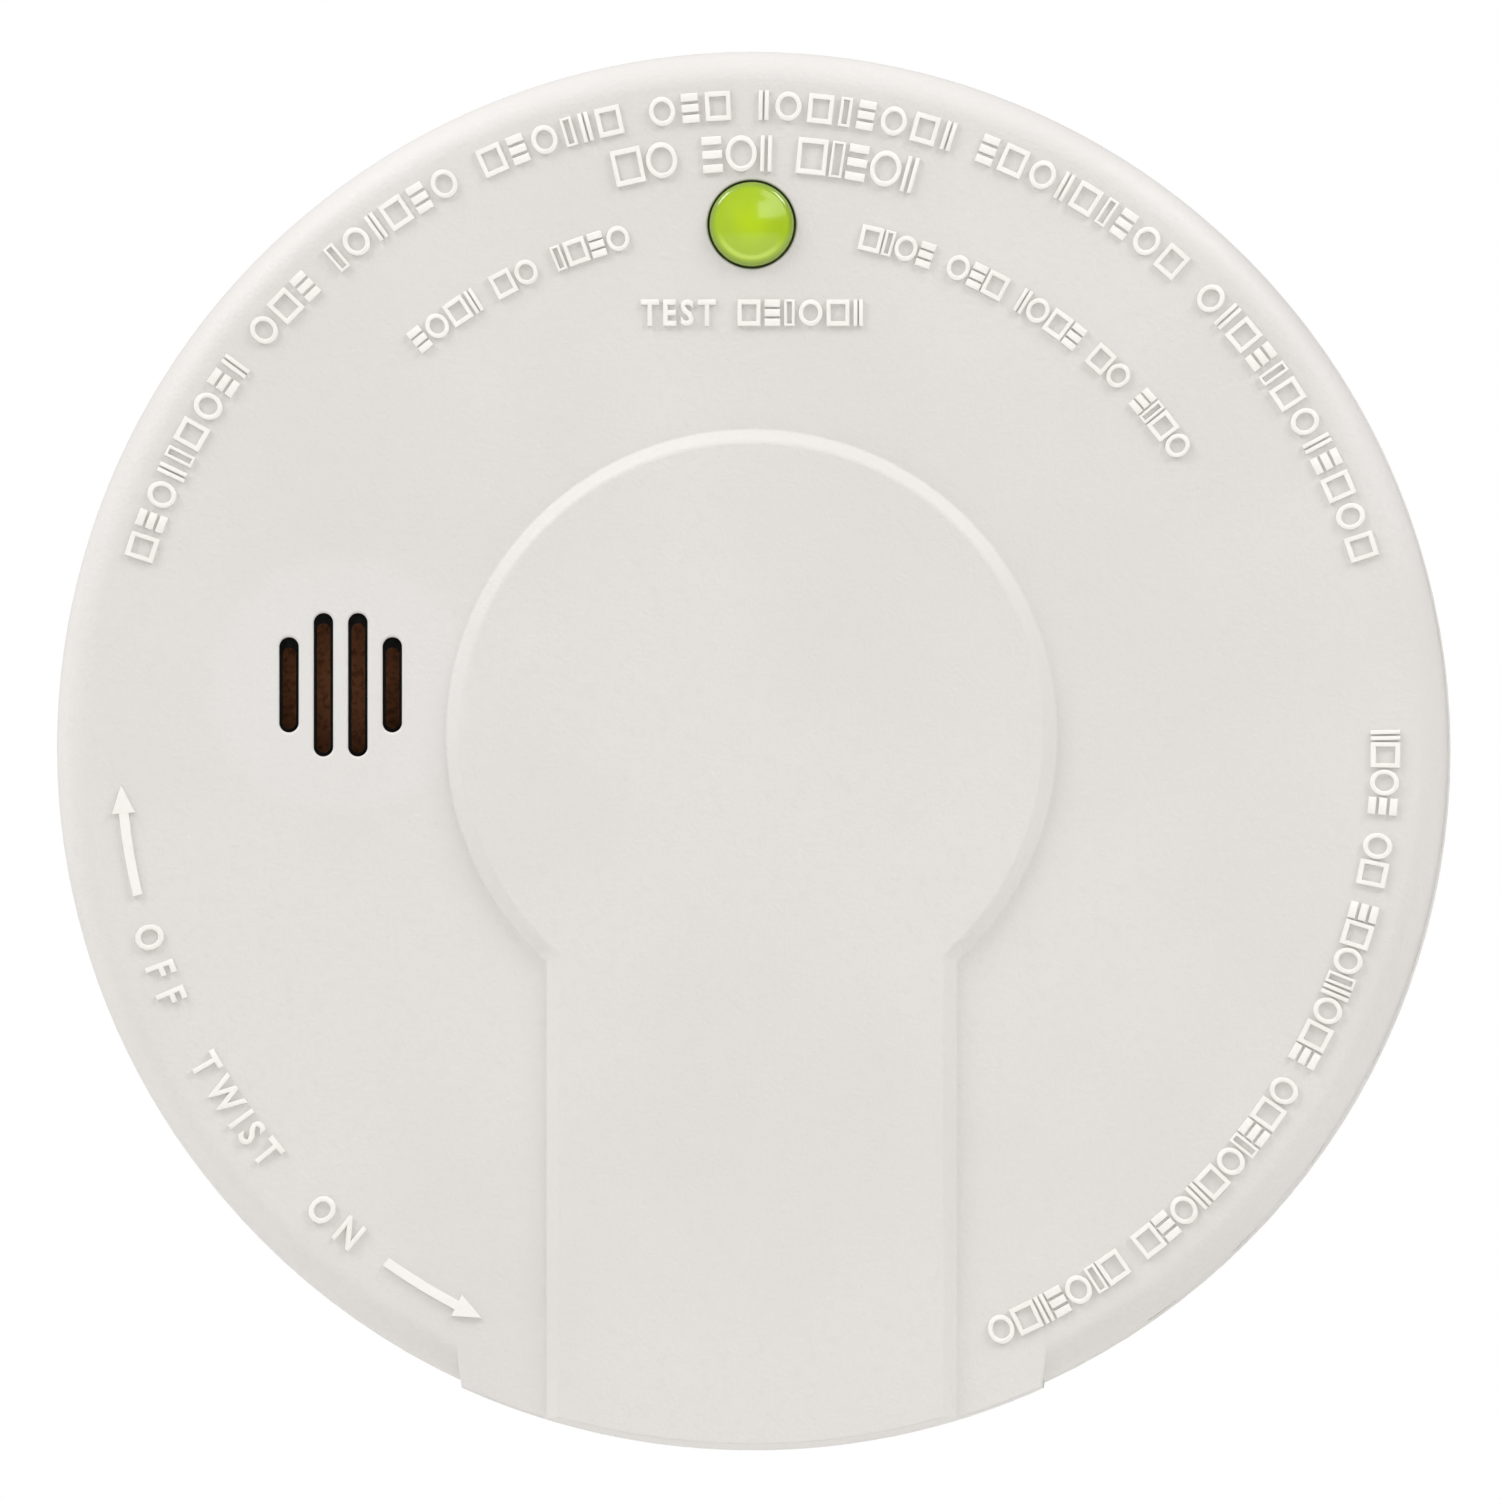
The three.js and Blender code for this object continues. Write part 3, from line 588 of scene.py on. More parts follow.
def turned(section: Sequence[Point], steps: int = 64) -> Solid:
    """Turns a section about Z.

    Args:
        section: Points of (radius, height), from axis to axis, or round to the first point again.
        steps: How many steps make the full turn.

    Returns:
        The closed solid.
    """
    solid = bmesh.new()
    points = [solid.verts.new((radius, 0, height)) for radius, height in section]
    lines = [solid.edges.new(pair) for pair in zip(points, points[1:])]
    spun(solid, points + lines, 2 * math.pi, steps, use_merge=True)
    sealed(solid)
    flat = math.radians(0.3)
    bmesh.ops.dissolve_limit(solid, angle_limit=flat, verts=solid.verts, edges=solid.edges)
    return solid


def ring_piece(inner: float, outer: float, start: float, end: float, low: float, tall: float) -> Solid:
    """Sweeps a block round part of a ring.

    Args:
        inner: The ring's inner radius.
        outer: Its outer radius.
        start: Where the piece starts, in degrees.
        end: Where it ends, in degrees.
        low: Its lower height.
        tall: How tall it is.

    Returns:
        The closed solid.
    """
    solid = bmesh.new()
    corners = [(inner, low), (outer, low), (outer, low + tall), (inner, low + tall)]
    side = solid.faces.new([solid.verts.new((x, 0, z)) for x, z in corners])
    spun(solid, [side], math.radians(end - start), max(4, round((end - start) / 2)))
    return moved(sealed(solid), 0, 0, 0, start)


@dataclass(frozen=True)
class Ring:
    """One level of a loft: a rectangle with round corners, or a circle or slot where they meet."""

    half_x: float
    half_y: float
    radius: float
    z: float
    segments: int = 32

    def at(self, z: float, grow: float = 0.0) -> Ring:
        """Gives the same ring at another height, larger all round."""
        return Ring(self.half_x + grow, self.half_y + grow, self.radius + grow, z, self.segments)

    def draw(self, solid: Solid) -> list[bmesh.types.BMEdge]:
        """Draws the ring.

        Args:
            solid: What to draw in.

        Returns:
            The ring's edges.
        """
        place = Matrix.Translation((0, 0, self.z)) @ Matrix.Rotation(math.pi / self.segments, 4, "Z")
        made = bmesh.ops.create_circle(solid, segments=self.segments, radius=self.radius, matrix=place)
        for point in made["verts"]:
            point.co.x += math.copysign(self.half_x - self.radius, point.co.x)
            point.co.y += math.copysign(self.half_y - self.radius, point.co.y)
        return list(dict.fromkeys(edge for point in made["verts"] for edge in point.link_edges))


def disc(radius: float, z: float, segments: int = 32) -> Ring:
    """Gives a round ring."""
    return Ring(radius, radius, radius, z, segments)


def lofted(rings: Sequence[Ring]) -> Solid:
    """Joins rings, in order, into a closed solid with two flat ends.

    Args:
        rings: The rings.

    Returns:
        The solid.
    """
    solid = bmesh.new()
    loops = [ring.draw(solid) for ring in rings]
    for first, second in zip(loops, loops[1:]):
        bmesh.ops.bridge_loops(solid, edges=first + second)
    for loop in (loops[0], loops[-1]):
        bmesh.ops.edgeloop_fill(solid, edges=loop)
    return sealed(solid)


def block(low: Sequence[float], high: Sequence[float], soft: float = 0.0) -> Solid:
    """Makes a block with softened edges.

    Args:
        low: Its lowest corner.
        high: Its highest corner.
        soft: How much is taken off each edge.

    Returns:
        The closed solid.
    """
    size = [b - a for a, b in zip(low, high)]
    middle = [(a + b) / 2 for a, b in zip(low, high)]
    solid = bmesh.new()
    place = Matrix.Translation(middle) @ Matrix.Diagonal((*size, 1))
    bmesh.ops.create_cube(solid, size=1, matrix=place)
    if soft:
        softened(solid, solid.edges[:], soft)
    return sealed(solid)


def moved(solid: Solid, x: float = 0.0, y: float = 0.0, z: float = 0.0, turn: float = 0.0) -> Solid:
    """Turns a solid about Z by some degrees, then moves it.

    Args:
        solid: The solid to move.
        x: How far along X.
        y: How far along Y.
        z: How far along Z.
        turn: The turn about Z, in degrees.

    Returns:
        The same solid.
    """
    place = Matrix.Translation((x, y, z)) @ Matrix.Rotation(math.radians(turn), 4, "Z")
    bmesh.ops.transform(solid, matrix=place, verts=solid.verts)
    return solid


def extent(solid: Solid, axis: int) -> Point:
    """Measures a solid along an axis: its lowest and highest coordinates."""
    values = [point.co[axis] for point in solid.verts]
    return min(values), max(values)


def gathered(solids: Sequence[Solid]) -> Solid:
    """Puts several solids in one, side by side.

    Args:
        solids: The solids, which are used up.

    Returns:
        One mesh that holds them all.
    """
    whole = bmesh.new()
    for solid in solids:
        mesh = meshed(solid, "gathered")
        whole.from_mesh(mesh)
        bpy.data.meshes.remove(mesh)
    return whole


def meshed(solid: Solid, name: str) -> bpy.types.Mesh:
    """Writes a solid, which is used up, to a new mesh.

    Args:
        solid: The solid.
        name: The mesh's name.

    Returns:
        The mesh.
    """
    mesh = bpy.data.meshes.new(name)
    solid.to_mesh(mesh)
    solid.free()
    return mesh


def stood(name: str, data: bpy.types.ID) -> bpy.types.Object:
    """Stands a new object with this data in the scene.

    Args:
        name: The object's name.
        data: Its mesh, light or camera.

    Returns:
        The object.
    """
    thing = bpy.data.objects.new(name, data)
    bpy.context.scene.collection.objects.link(thing)
    return thing


def worked(solid: Solid, how: Join, tool: Solid) -> Solid:
    """Joins or cuts a solid with another.

    Args:
        solid: What is worked, which is used up.
        how: Whether the tool is added or cut away.
        tool: The other solid, which is used up.

    Returns:
        The new solid.
    """
    things = [stood(name, meshed(part, name)) for name, part in (("work", solid), ("tool", tool))]
    work, cutter = things
    step = work.modifiers.new("step", "BOOLEAN")
    step.operation = how.value
    step.solver = "EXACT"
    step.object = cutter
    result = bmesh.new()
    result.from_object(work, bpy.context.evaluated_depsgraph_get())
    for thing in things:
        mesh = thing.data
        bpy.data.objects.remove(thing)
        bpy.data.meshes.remove(mesh)
    bmesh.ops.remove_doubles(result, verts=result.verts, dist=1e-4)
    return result


def lip(ring: Ring, face: float, radius: float, steps: int = 3) -> list[Ring]:
    """Flares a cutter where it meets a face, so that the hole's edge comes out round.

    Args:
        ring: The hole's own ring, at the cutter's deep end.
        face: The face's height.
        radius: The edge's radius.
        steps: How many steps make the quarter turn.

    Returns:
        The cutter's rings, from its deep end to past the face.
    """
    rings = [ring]
    for i in range(steps + 1):
        turn = math.pi / 2 * i / steps
        depth = radius * (1 - math.sin(turn))
        rings.append(ring.at(face - depth, radius * (1 - math.cos(turn))))
    return [*rings, ring.at(face + PAST, radius)]


def bench_box(node: str) -> tuple[Vector, Vector]:
    """Gives a CAD node's box in bench millimetres.

    Args:
        node: The node's name.

    Returns:
        Its lowest and highest corners.
    """
    low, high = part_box(node)
    return Vector((low.x, low.z, -high.y)) / MM, Vector((high.x, high.z, -low.y)) / MM


def bench_middle(node: str) -> Vector:
    """Gives the middle of a CAD node's box in bench millimetres."""
    low, high = bench_box(node)
    return (low + high) / 2


@dataclass(frozen=True)
class Fitting:
    """Where a finished piece belongs: its body, its material slot and the CAD nodes it stands for."""

    body: str
    slot: str
    stands_for: tuple[str, ...] = ()


def deliver(
    solid: Solid, name: str, finish: Finish, fitting: Fitting, crease: float = 32.0
) -> bpy.types.Object:
    """Makes a bench solid a finished piece of the alarm.

    Args:
        solid: The solid, which is used up.
        name: The piece's name.
        finish: Its finish.
        fitting: Where it belongs.
        crease: Edges sharper than this many degrees stay sharp.

    Returns:
        The piece.
    """
    bmesh.ops.transform(solid, matrix=BENCH_TO_FRAME, verts=solid.verts)
    mesh = meshed(solid, name)
    mesh.shade_smooth()
    mesh.set_sharp_from_angle(angle=math.radians(crease))
    mesh.materials.append(finish.make())
    piece = stood(name, mesh)
    even = piece.modifiers.new("even_normals", "WEIGHTED_NORMAL")
    even.keep_sharp = True
    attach(piece, fitting.body)
    if fitting.stands_for:
        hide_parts(*fitting.stands_for)
    log.info("%s: %d faces on %s", name, len(mesh.polygons), fitting.body)
    return piece


def dress(finish: Finish, *nodes: str) -> None:
    """Gives CAD nodes whose shape stays a better material.

    Args:
        finish: The finish.
        *nodes: The nodes' names.
    """
    for node in nodes:
        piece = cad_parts[node]
        piece.data.materials.clear()
        piece.data.materials.append(finish.make())
        log.info("%s: dressed in %s", node, finish.name)


# ---------------------------------------------------------------- front cover


@dataclass
class FrontCover:
    """The shell that shows: round face with a soft edge, keyhole panel, tab, slots and side vents."""

    wall: float = 1.9
    edge_round: float = 3.4
    draft: float = 0.15
    panel_rise: float = 1.2
    panel_radius: float = 31.2
    panel_half_width: float = 21.0
    panel_centre_y: float = 1.2
    panel_slope: tuple[Point, ...] = ((0.0, 0.0), (0.3, 0.16), (1.15, 0.94), (1.4, 1.12), (1.75, 1.2))
    tab_radius: float = 71.5
    tab_half_width: float = 30.4
    tab_lean: float = 0.9
    tab_start: float = 58.0
    slot_width: float = 2.0
    slots: tuple[Point, ...] = ((-5.25, 9.7), (-1.75, 14.6), (1.75, 14.6), (5.25, 9.7))
    vent_count: int = 33
    vent_step: float = 9.0
    vent_width: float = 3.0
    vent_low: float = 19.0
    vent_high: float = 29.0
    hole_radius: float = 4.5
    horn: Vector = field(default_factory=lambda: bench_middle("piezo_disc"))
    button: Vector = field(default_factory=lambda: bench_middle("test_button"))

    def __post_init__(self) -> None:
        """Takes the cover's place from the frame."""
        low, high = bench_box("front_cover")
        self.radius = (high.x - low.x) / 2
        self.low = low.z
        self.top = high.z
        self.face = self.top - self.panel_rise

    def finish(self) -> FacePlastic:
        """Gives the cover's own plastic, with the paler patch over the sounder."""
        return FacePlastic("cover_abs", patch_x=self.horn.x, patch_z=self.horn.y)

    def outside(self) -> Solid:
        """Turns the cover's outside, as a full solid.

        Returns:
            The solid.
        """
        corner = (self.radius - self.edge_round, self.face - self.edge_round)
        foot = self.radius + self.draft
        section = [(0.0, self.low), (foot - 0.35, self.low), (foot, self.low + 0.35)]
        section += arc(corner, self.edge_round, 0, 90, 14)
        return turned([*section, (0.0, self.face)], 180)

    def tab(self) -> Solid:
        """Makes the tab at the bottom, whose face runs flat to its edge.

        Returns:
            The solid.
        """
        solid = bmesh.new()
        half = self.tab_half_width - self.tab_lean
        start = math.pi + math.acos(half / self.tab_radius)
        sweep = 3 * math.pi - 2 * start
        top = self.face + 0.02
        first = solid.verts.new((-half, self.tab_radius * math.sin(start), top))
        last = spun(solid, [first], sweep, 36, top)[0]
        inner = [
            solid.verts.new((x, -self.tab_start, top))
            for x in (self.tab_half_width, -self.tab_half_width)
        ]
        ends = [last, *inner, first]
        for pair in zip(ends, ends[1:]):
            solid.edges.new(pair)
        bmesh.ops.contextual_create(solid, geom=solid.edges[:])
        raised(solid, self.low - top)
        rim = [e for e in solid.edges if all(v.co.z > self.face for v in e.verts)]
        rim = [e for e in rim if min(v.co.y for v in e.verts) < -self.tab_start - 1]
        return sealed(softened(solid, rim, 0.3, 3))

    def keyhole(self, solid: Solid, inset: float, z: float) -> list[bmesh.types.BMEdge]:
        """Draws the keyhole outline.

        Args:
            solid: What to draw in.
            inset: How far inside the panel's foot line it runs.
            z: Its height.

        Returns:
            The outline's edges.
        """
        before = set(solid.edges)
        radius = self.panel_radius - inset
        half = self.panel_half_width - inset
        neck = math.asin(half / radius)
        drop = self.panel_centre_y - radius * math.cos(neck)
        first = solid.verts.new((half, drop, z))
        last = spun(solid, [first], 2 * (math.pi - neck), 120, cent=(0, self.panel_centre_y, z))[0]
        foot = self.tab_radius - 0.06 - 0.4 * inset
        sweep = math.asin(half / foot)
        left = solid.verts.new((-half, -foot * math.cos(sweep), z))
        right = spun(solid, [left], 2 * sweep, 24, z)[0]
        for pair in ((last, left), (right, first)):
            solid.edges.new(pair)
        return [edge for edge in solid.edges if edge not in before]

    def panel(self) -> Solid:
        """Makes the raised keyhole panel, whose stem runs out to the tab's edge.

        Returns:
            The solid.
        """
        solid = bmesh.new()
        levels = [(0.0, -PAST), *self.panel_slope]
        loops = [self.keyhole(solid, inset, self.face + rise) for inset, rise in levels]
        for first, second in zip(loops, loops[1:]):
            bmesh.ops.bridge_loops(solid, edges=first + second)
        for loop in (loops[0], loops[-1]):
            bmesh.ops.edgeloop_fill(solid, edges=loop)
        return sealed(solid)

    def cavity(self) -> Solid:
        """Turns the space inside the cover.

        Returns:
            The solid.
        """
        radius = self.radius - self.wall
        top = self.face - self.wall
        section = [(0.0, self.low - PAST), (radius + 0.2, self.low - PAST)]
        section += arc((radius - 1.5, top - 1.5), 1.5, 0, 90, 5)
        return turned([*section, (0.0, top)], 180)

    def slot_cutters(self) -> list[Solid]:
        """Makes the cutters of the sounder's slots, whose edges come out round.

        Returns:
            The cutters, one for each slot.
        """
        half = self.slot_width / 2
        deep = self.face - self.wall - PAST
        cutters = []
        for x, length in self.slots:
            ring = Ring(half, length / 2, half, deep)
            cutters.append(moved(lofted(lip(ring, self.face, 0.28)), self.horn.x + x, self.horn.y))
        return cutters

    def vent_cutters(self) -> list[Solid]:
        """Makes the cutters of the side vents.

        Returns:
            The cutters, one for each vent.
        """
        middle = (self.vent_low + self.vent_high) / 2
        tall = (self.vent_high - self.vent_low) / 2
        cutters = []
        for i in range(self.vent_count):
            angle = math.radians(90 + (i - (self.vent_count - 1) / 2) * self.vent_step)
            out = Vector((math.cos(angle), math.sin(angle), 0))
            up = Vector((0, 0, 1))
            place = Matrix((up.cross(out), up, out)).transposed().to_4x4()
            place.translation = up * middle
            ring = Ring(self.vent_width / 2, tall, 0.9, self.radius - 2 * self.wall, 16)
            cutter = lofted(lip(ring, self.radius + 0.05, 0.25, 2))
            bmesh.ops.transform(cutter, matrix=place, verts=cutter.verts)
            cutters.append(cutter)
        return cutters

    def button_cutter(self) -> Solid:
        """Makes the cutter of the button's hole, with its wide round lip."""
        ring = disc(self.hole_radius, self.face - self.wall - PAST, 64)
        return moved(lofted(lip(ring, self.face, 0.22, 3)), self.button.x, self.button.y)

    def build(self) -> None:
        """Builds the cover."""
        solid = worked(self.outside(), Join.ADD, self.tab())
        solid = worked(solid, Join.ADD, self.panel())
        solid = worked(solid, Join.CUT, self.cavity())
        solid = worked(solid, Join.CUT, gathered([*self.slot_cutters(), self.button_cutter()]))
        solid = worked(solid, Join.CUT, gathered(self.vent_cutters()))
        fitting = Fitting("alarm", "shell_plastic", ("front_cover",))
        deliver(solid, "cover_shell", self.finish(), fitting)


# ---------------------------------------------------------------- markings on the face


class Reading(Enum):
    """Which way a row on an arc reads: clockwise with its tops outward, or the other way."""

    TOPS_OUT = 1
    TOPS_IN = -1


@dataclass(frozen=True)
class Row:
    """A row of raised shapes on an arc about the middle of the face, grouped as words are."""

    text: str
    radius: float
    start: float
    end: float
    height: float
    reading: Reading = Reading.TOPS_OUT
    thicken: float = 0.0


@dataclass
class FaceMarkings:
    """Raised marks on the face: rows of plain shapes, the turning words and their arrows."""

    cover: FrontCover
    rise: float = 0.38
    soft: float = 0.12
    space: float = 0.5
    slim: float = 0.8
    rows: tuple[Row, ...] = (
        Row("□≡○∥▯□○≡∥ ○□≡ ▯○∥□≡○ □≡○▯∥□ ○≡□ ∥○□▯≡○□∥ ≡□○∥□▯≡○□ ○∥□≡▯□○∥≡□○□", 65.2, 163, 17, 3.0),
        Row("□○ ≡○∥ □▯≡○∥", 60.3, 103.5, 74.0, 3.7, thicken=-0.04),
        Row("≡○□∥ □○ ▯□≡○", 53.4, 130, 103.5, 2.6),
        Row("□▯○≡ ○≡□ ∥○□≡ □○ ≡▯□○", 53.0, 78, 34, 2.6),
        Row("○□∥≡○▯□ □≡○∥□○▯≡□○ ≡□○∥▯○□≡ □○ ≡○□∥", 64.4, -68, 1.5, 3.0, Reading.TOPS_IN),
        Row("OFF", 64.2, 196.4, 203.9, 3.0, Reading.TOPS_IN),
        Row("TWIST", 64.2, 209.3, 220.9, 3.0, Reading.TOPS_IN),
        Row("ON", 64.2, 226.0, 231.4, 3.0, Reading.TOPS_IN),
    )
    line: tuple[str, float, float, float] = ("TEST □≡▯○□∥", 44.1, 2.7, 11.3)
    arrows: tuple[Point, ...] = ((193.6, -7.6), (234.6, 7.6))
    arrow_radius: float = 64.2
    shaft_half: float = 0.5
    head_radius: float = 1.75
    head_lead: float = 0.8

    def shape(self, character: str, height: float, thicken: float) -> Solid:
        """Makes a raised shape from the built-in typeface.

        Args:
            character: The shape.
            height: Its height.
            thicken: How much is added all round its strokes.

        Returns:
            The shape, about the origin, with its foot below the face.
        """
        curve = bpy.data.curves.new("shape", "FONT")
        curve.body = character
        curve.size = height / 0.73
        curve.offset = thicken
        curve.extrude = (self.rise + SUNK) / 2 - self.soft
        curve.bevel_depth = self.soft
        curve.bevel_resolution = 1
        curve.resolution_u = 3
        holder = bpy.data.objects.new("shape", curve)
        mesh = bpy.data.meshes.new_from_object(holder)
        solid = bmesh.new()
        solid.from_mesh(mesh)
        bpy.data.objects.remove(holder)
        bpy.data.curves.remove(curve)
        bpy.data.meshes.remove(mesh)
        sealed(solid)
        low, high = extent(solid, 1)
        moved(solid, 0, -(low + high) / 2)
        bmesh.ops.scale(solid, vec=(self.slim, height / (high - low), 1), verts=solid.verts)
        low, high = extent(solid, 0)
        return moved(solid, -(low + high) / 2, 0, (self.rise - SUNK) / 2)

    def spread(
        self, text: str, length: float, height: float, thicken: float = 0.0
    ) -> Iterator[tuple[Solid, float]]:
        """Spreads a row's shapes evenly over a length.

        Args:
            text: The shapes, with a space between words.
            length: How long the row is.
            height: How tall it is.
            thicken: How much is added all round its strokes.

        Yields:
            Each shape, and how far along the row its middle stands.
        """
        shapes = [None if c == " " else self.shape(c, height, thicken) for c in text]
        widths = [self.space * height if s is None else extent(s, 0)[1] * 2 for s in shapes]
        gap = (length - sum(widths)) / (len(widths) - 1)
        along = 0.0
        for shape, width in zip(shapes, widths):
            if shape is not None:
                yield shape, along + width / 2
            along += width + gap

    def on_arc(self, row: Row) -> Iterator[Solid]:
        """Stands a row on its arc.

        Args:
            row: The row.

        Yields:
            Each shape in its place.
        """
        length = math.radians(abs(row.end - row.start)) * row.radius
        for shape, along in self.spread(row.text, length, row.height, row.thicken):
            angle = row.start + (row.end - row.start) * along / length
            turn = angle - 90 * row.reading.value
            spot = math.radians(angle)
            x, y = row.radius * math.cos(spot), row.radius * math.sin(spot)
            yield moved(shape, x, y, self.cover.face, turn)

    def arrow(self, start: float, sweep: float) -> Iterator[Solid]:
        """Makes a turning arrow.

        Args:
            start: Where its tail is, in degrees.
            sweep: How far it runs, in degrees, with the sign of its turn.

        Yields:
            Its shaft and its head.
        """
        radius = self.arrow_radius
        low = self.cover.face - SUNK
        tall = self.rise + SUNK
        first, last = sorted((start, start + sweep))
        shaft = ring_piece(radius - self.shaft_half, radius + self.shaft_half, first, last, low, tall)
        head = bmesh.new()
        bmesh.ops.create_circle(head, cap_ends=True, segments=3, radius=self.head_radius)
        bmesh.ops.scale(head, vec=(0.8, 1.1, 1), verts=head.verts)
        raised(head, tall)
        end = start + sweep + math.copysign(self.head_lead, sweep)
        spot = math.radians(end)
        way = end if sweep > 0 else end + 180
        moved(head, radius * math.cos(spot), radius * math.sin(spot), low, way)
        for part in (shaft, head):
            upper = [e for e in part.edges if all(v.co.z > low + tall / 2 for v in e.verts)]
            rim = [e for e in upper if e.calc_face_angle(0) > 0.5]
            yield softened(part, rim, self.soft)

    def build(self) -> None:
        """Builds all the markings as one piece on the cover."""
        solids = [shape for row in self.rows for shape in self.on_arc(row)]
        text, y, height, half = self.line
        for shape, along in self.spread(text, 2 * half, height):
            solids.append(moved(shape, along - half, y, self.cover.face))
        solids += [part for place in self.arrows for part in self.arrow(*place)]
        finish = MouldedPlastic("marking_abs", "#ECE9E5", "#E8E5E0", 0.42, 0.3, 0.004, 6.0)
        fitting = Fitting("alarm", "shell_plastic")
        deliver(gathered(solids), "face_markings", finish, fitting, 40.0)


# ---------------------------------------------------------------- test button


@dataclass
class TestButton:
    """The translucent button: a polished low crown with a rounded rim, on its flange and stem."""

    radius: float = 4.3
    crown: float = 0.6
    shoulder: float = 0.8
    stem_radius: float = 1.7
    flange_radius: float = 5.6
    flange_low: float = 36.4
    flange_top: float = 37.6
    spring_wire: float = 0.6
    spring_turns: int = 5
    spring_travel: float = 1.3

    def __post_init__(self) -> None:
        """Takes the button's place from the frame."""
        low, high = bench_box("test_button")
        self.low = low.z
        self.top = high.z
        self.middle = bench_middle("test_button")

    def build(self) -> None:
        """Builds the button."""
        rim = self.top - self.crown
        corner = (self.radius - self.shoulder, rim - self.shoulder)
        section = [(0.0, self.low), (self.stem_radius - 0.3, self.low)]
        section += [(self.stem_radius, self.low + 0.3), (self.stem_radius, self.flange_low)]
        section += [(self.flange_radius, self.flange_low), (self.flange_radius, self.flange_top)]
        section += [(self.radius, self.flange_top)]
        section += arc(corner, self.shoulder, 0, 78, 6)
        ring = self.radius - self.shoulder
        section += [(ring - 0.05, rim + 0.01)]
        for i in range(1, 8):
            share = i / 8
            section.append(((ring - 0.1) * (1 - share), rim + self.crown * (1 - (1 - share) ** 2)))
        solid = moved(turned([*section, (0.0, self.top)], 64), self.middle.x, self.middle.y)
        finish = LightPipeAcrylic("button_acrylic", centre_z=self.middle.y, radius=self.radius)
        fitting = Fitting("button", "button_plastic", ("test_button",))
        deliver(solid, "button_cap", finish, fitting)
        self.build_spring()

    def build_spring(self) -> None:
        """Winds the return spring at one fixed length, though the real one shortens as the button goes in.
        """
        low, high = bench_box("button_spring")
        wire = self.spring_wire / 2
        start, rise = low.z + wire, high.z - low.z - 2 * wire
        radius = (high.x - low.x) / 2 - wire
        steps = 24 * self.spring_turns
        solid = bmesh.new()
        made = bmesh.ops.create_circle(solid, segments=10, radius=wire)
        place = Matrix.Translation((radius, 0, start)) @ Matrix.Rotation(math.radians(90), 4, "X")
        bmesh.ops.transform(solid, matrix=place, verts=made["verts"])
        first = solid.edges[:]
        wound = spun(solid, first, 2 * math.pi * self.spring_turns, steps, dvec=(0, 0, rise / steps))
        last = [edge for edge in wound if isinstance(edge, bmesh.types.BMEdge)]
        for ends in (first, last):
            bmesh.ops.edgeloop_fill(solid, edges=ends)
        fitting = Fitting("alarm", "plated_steel", ("button_spring",))
        finish = PlainMetal("spring_wire", "#C4C7CA", "#8E9194", 0.25)
        middle = bench_middle("button_spring")
        piece = deliver(sealed(moved(solid, middle.x, middle.y)), "return_spring", finish, fitting)
        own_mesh(piece)


# ---------------------------------------------------------------- base and bracket


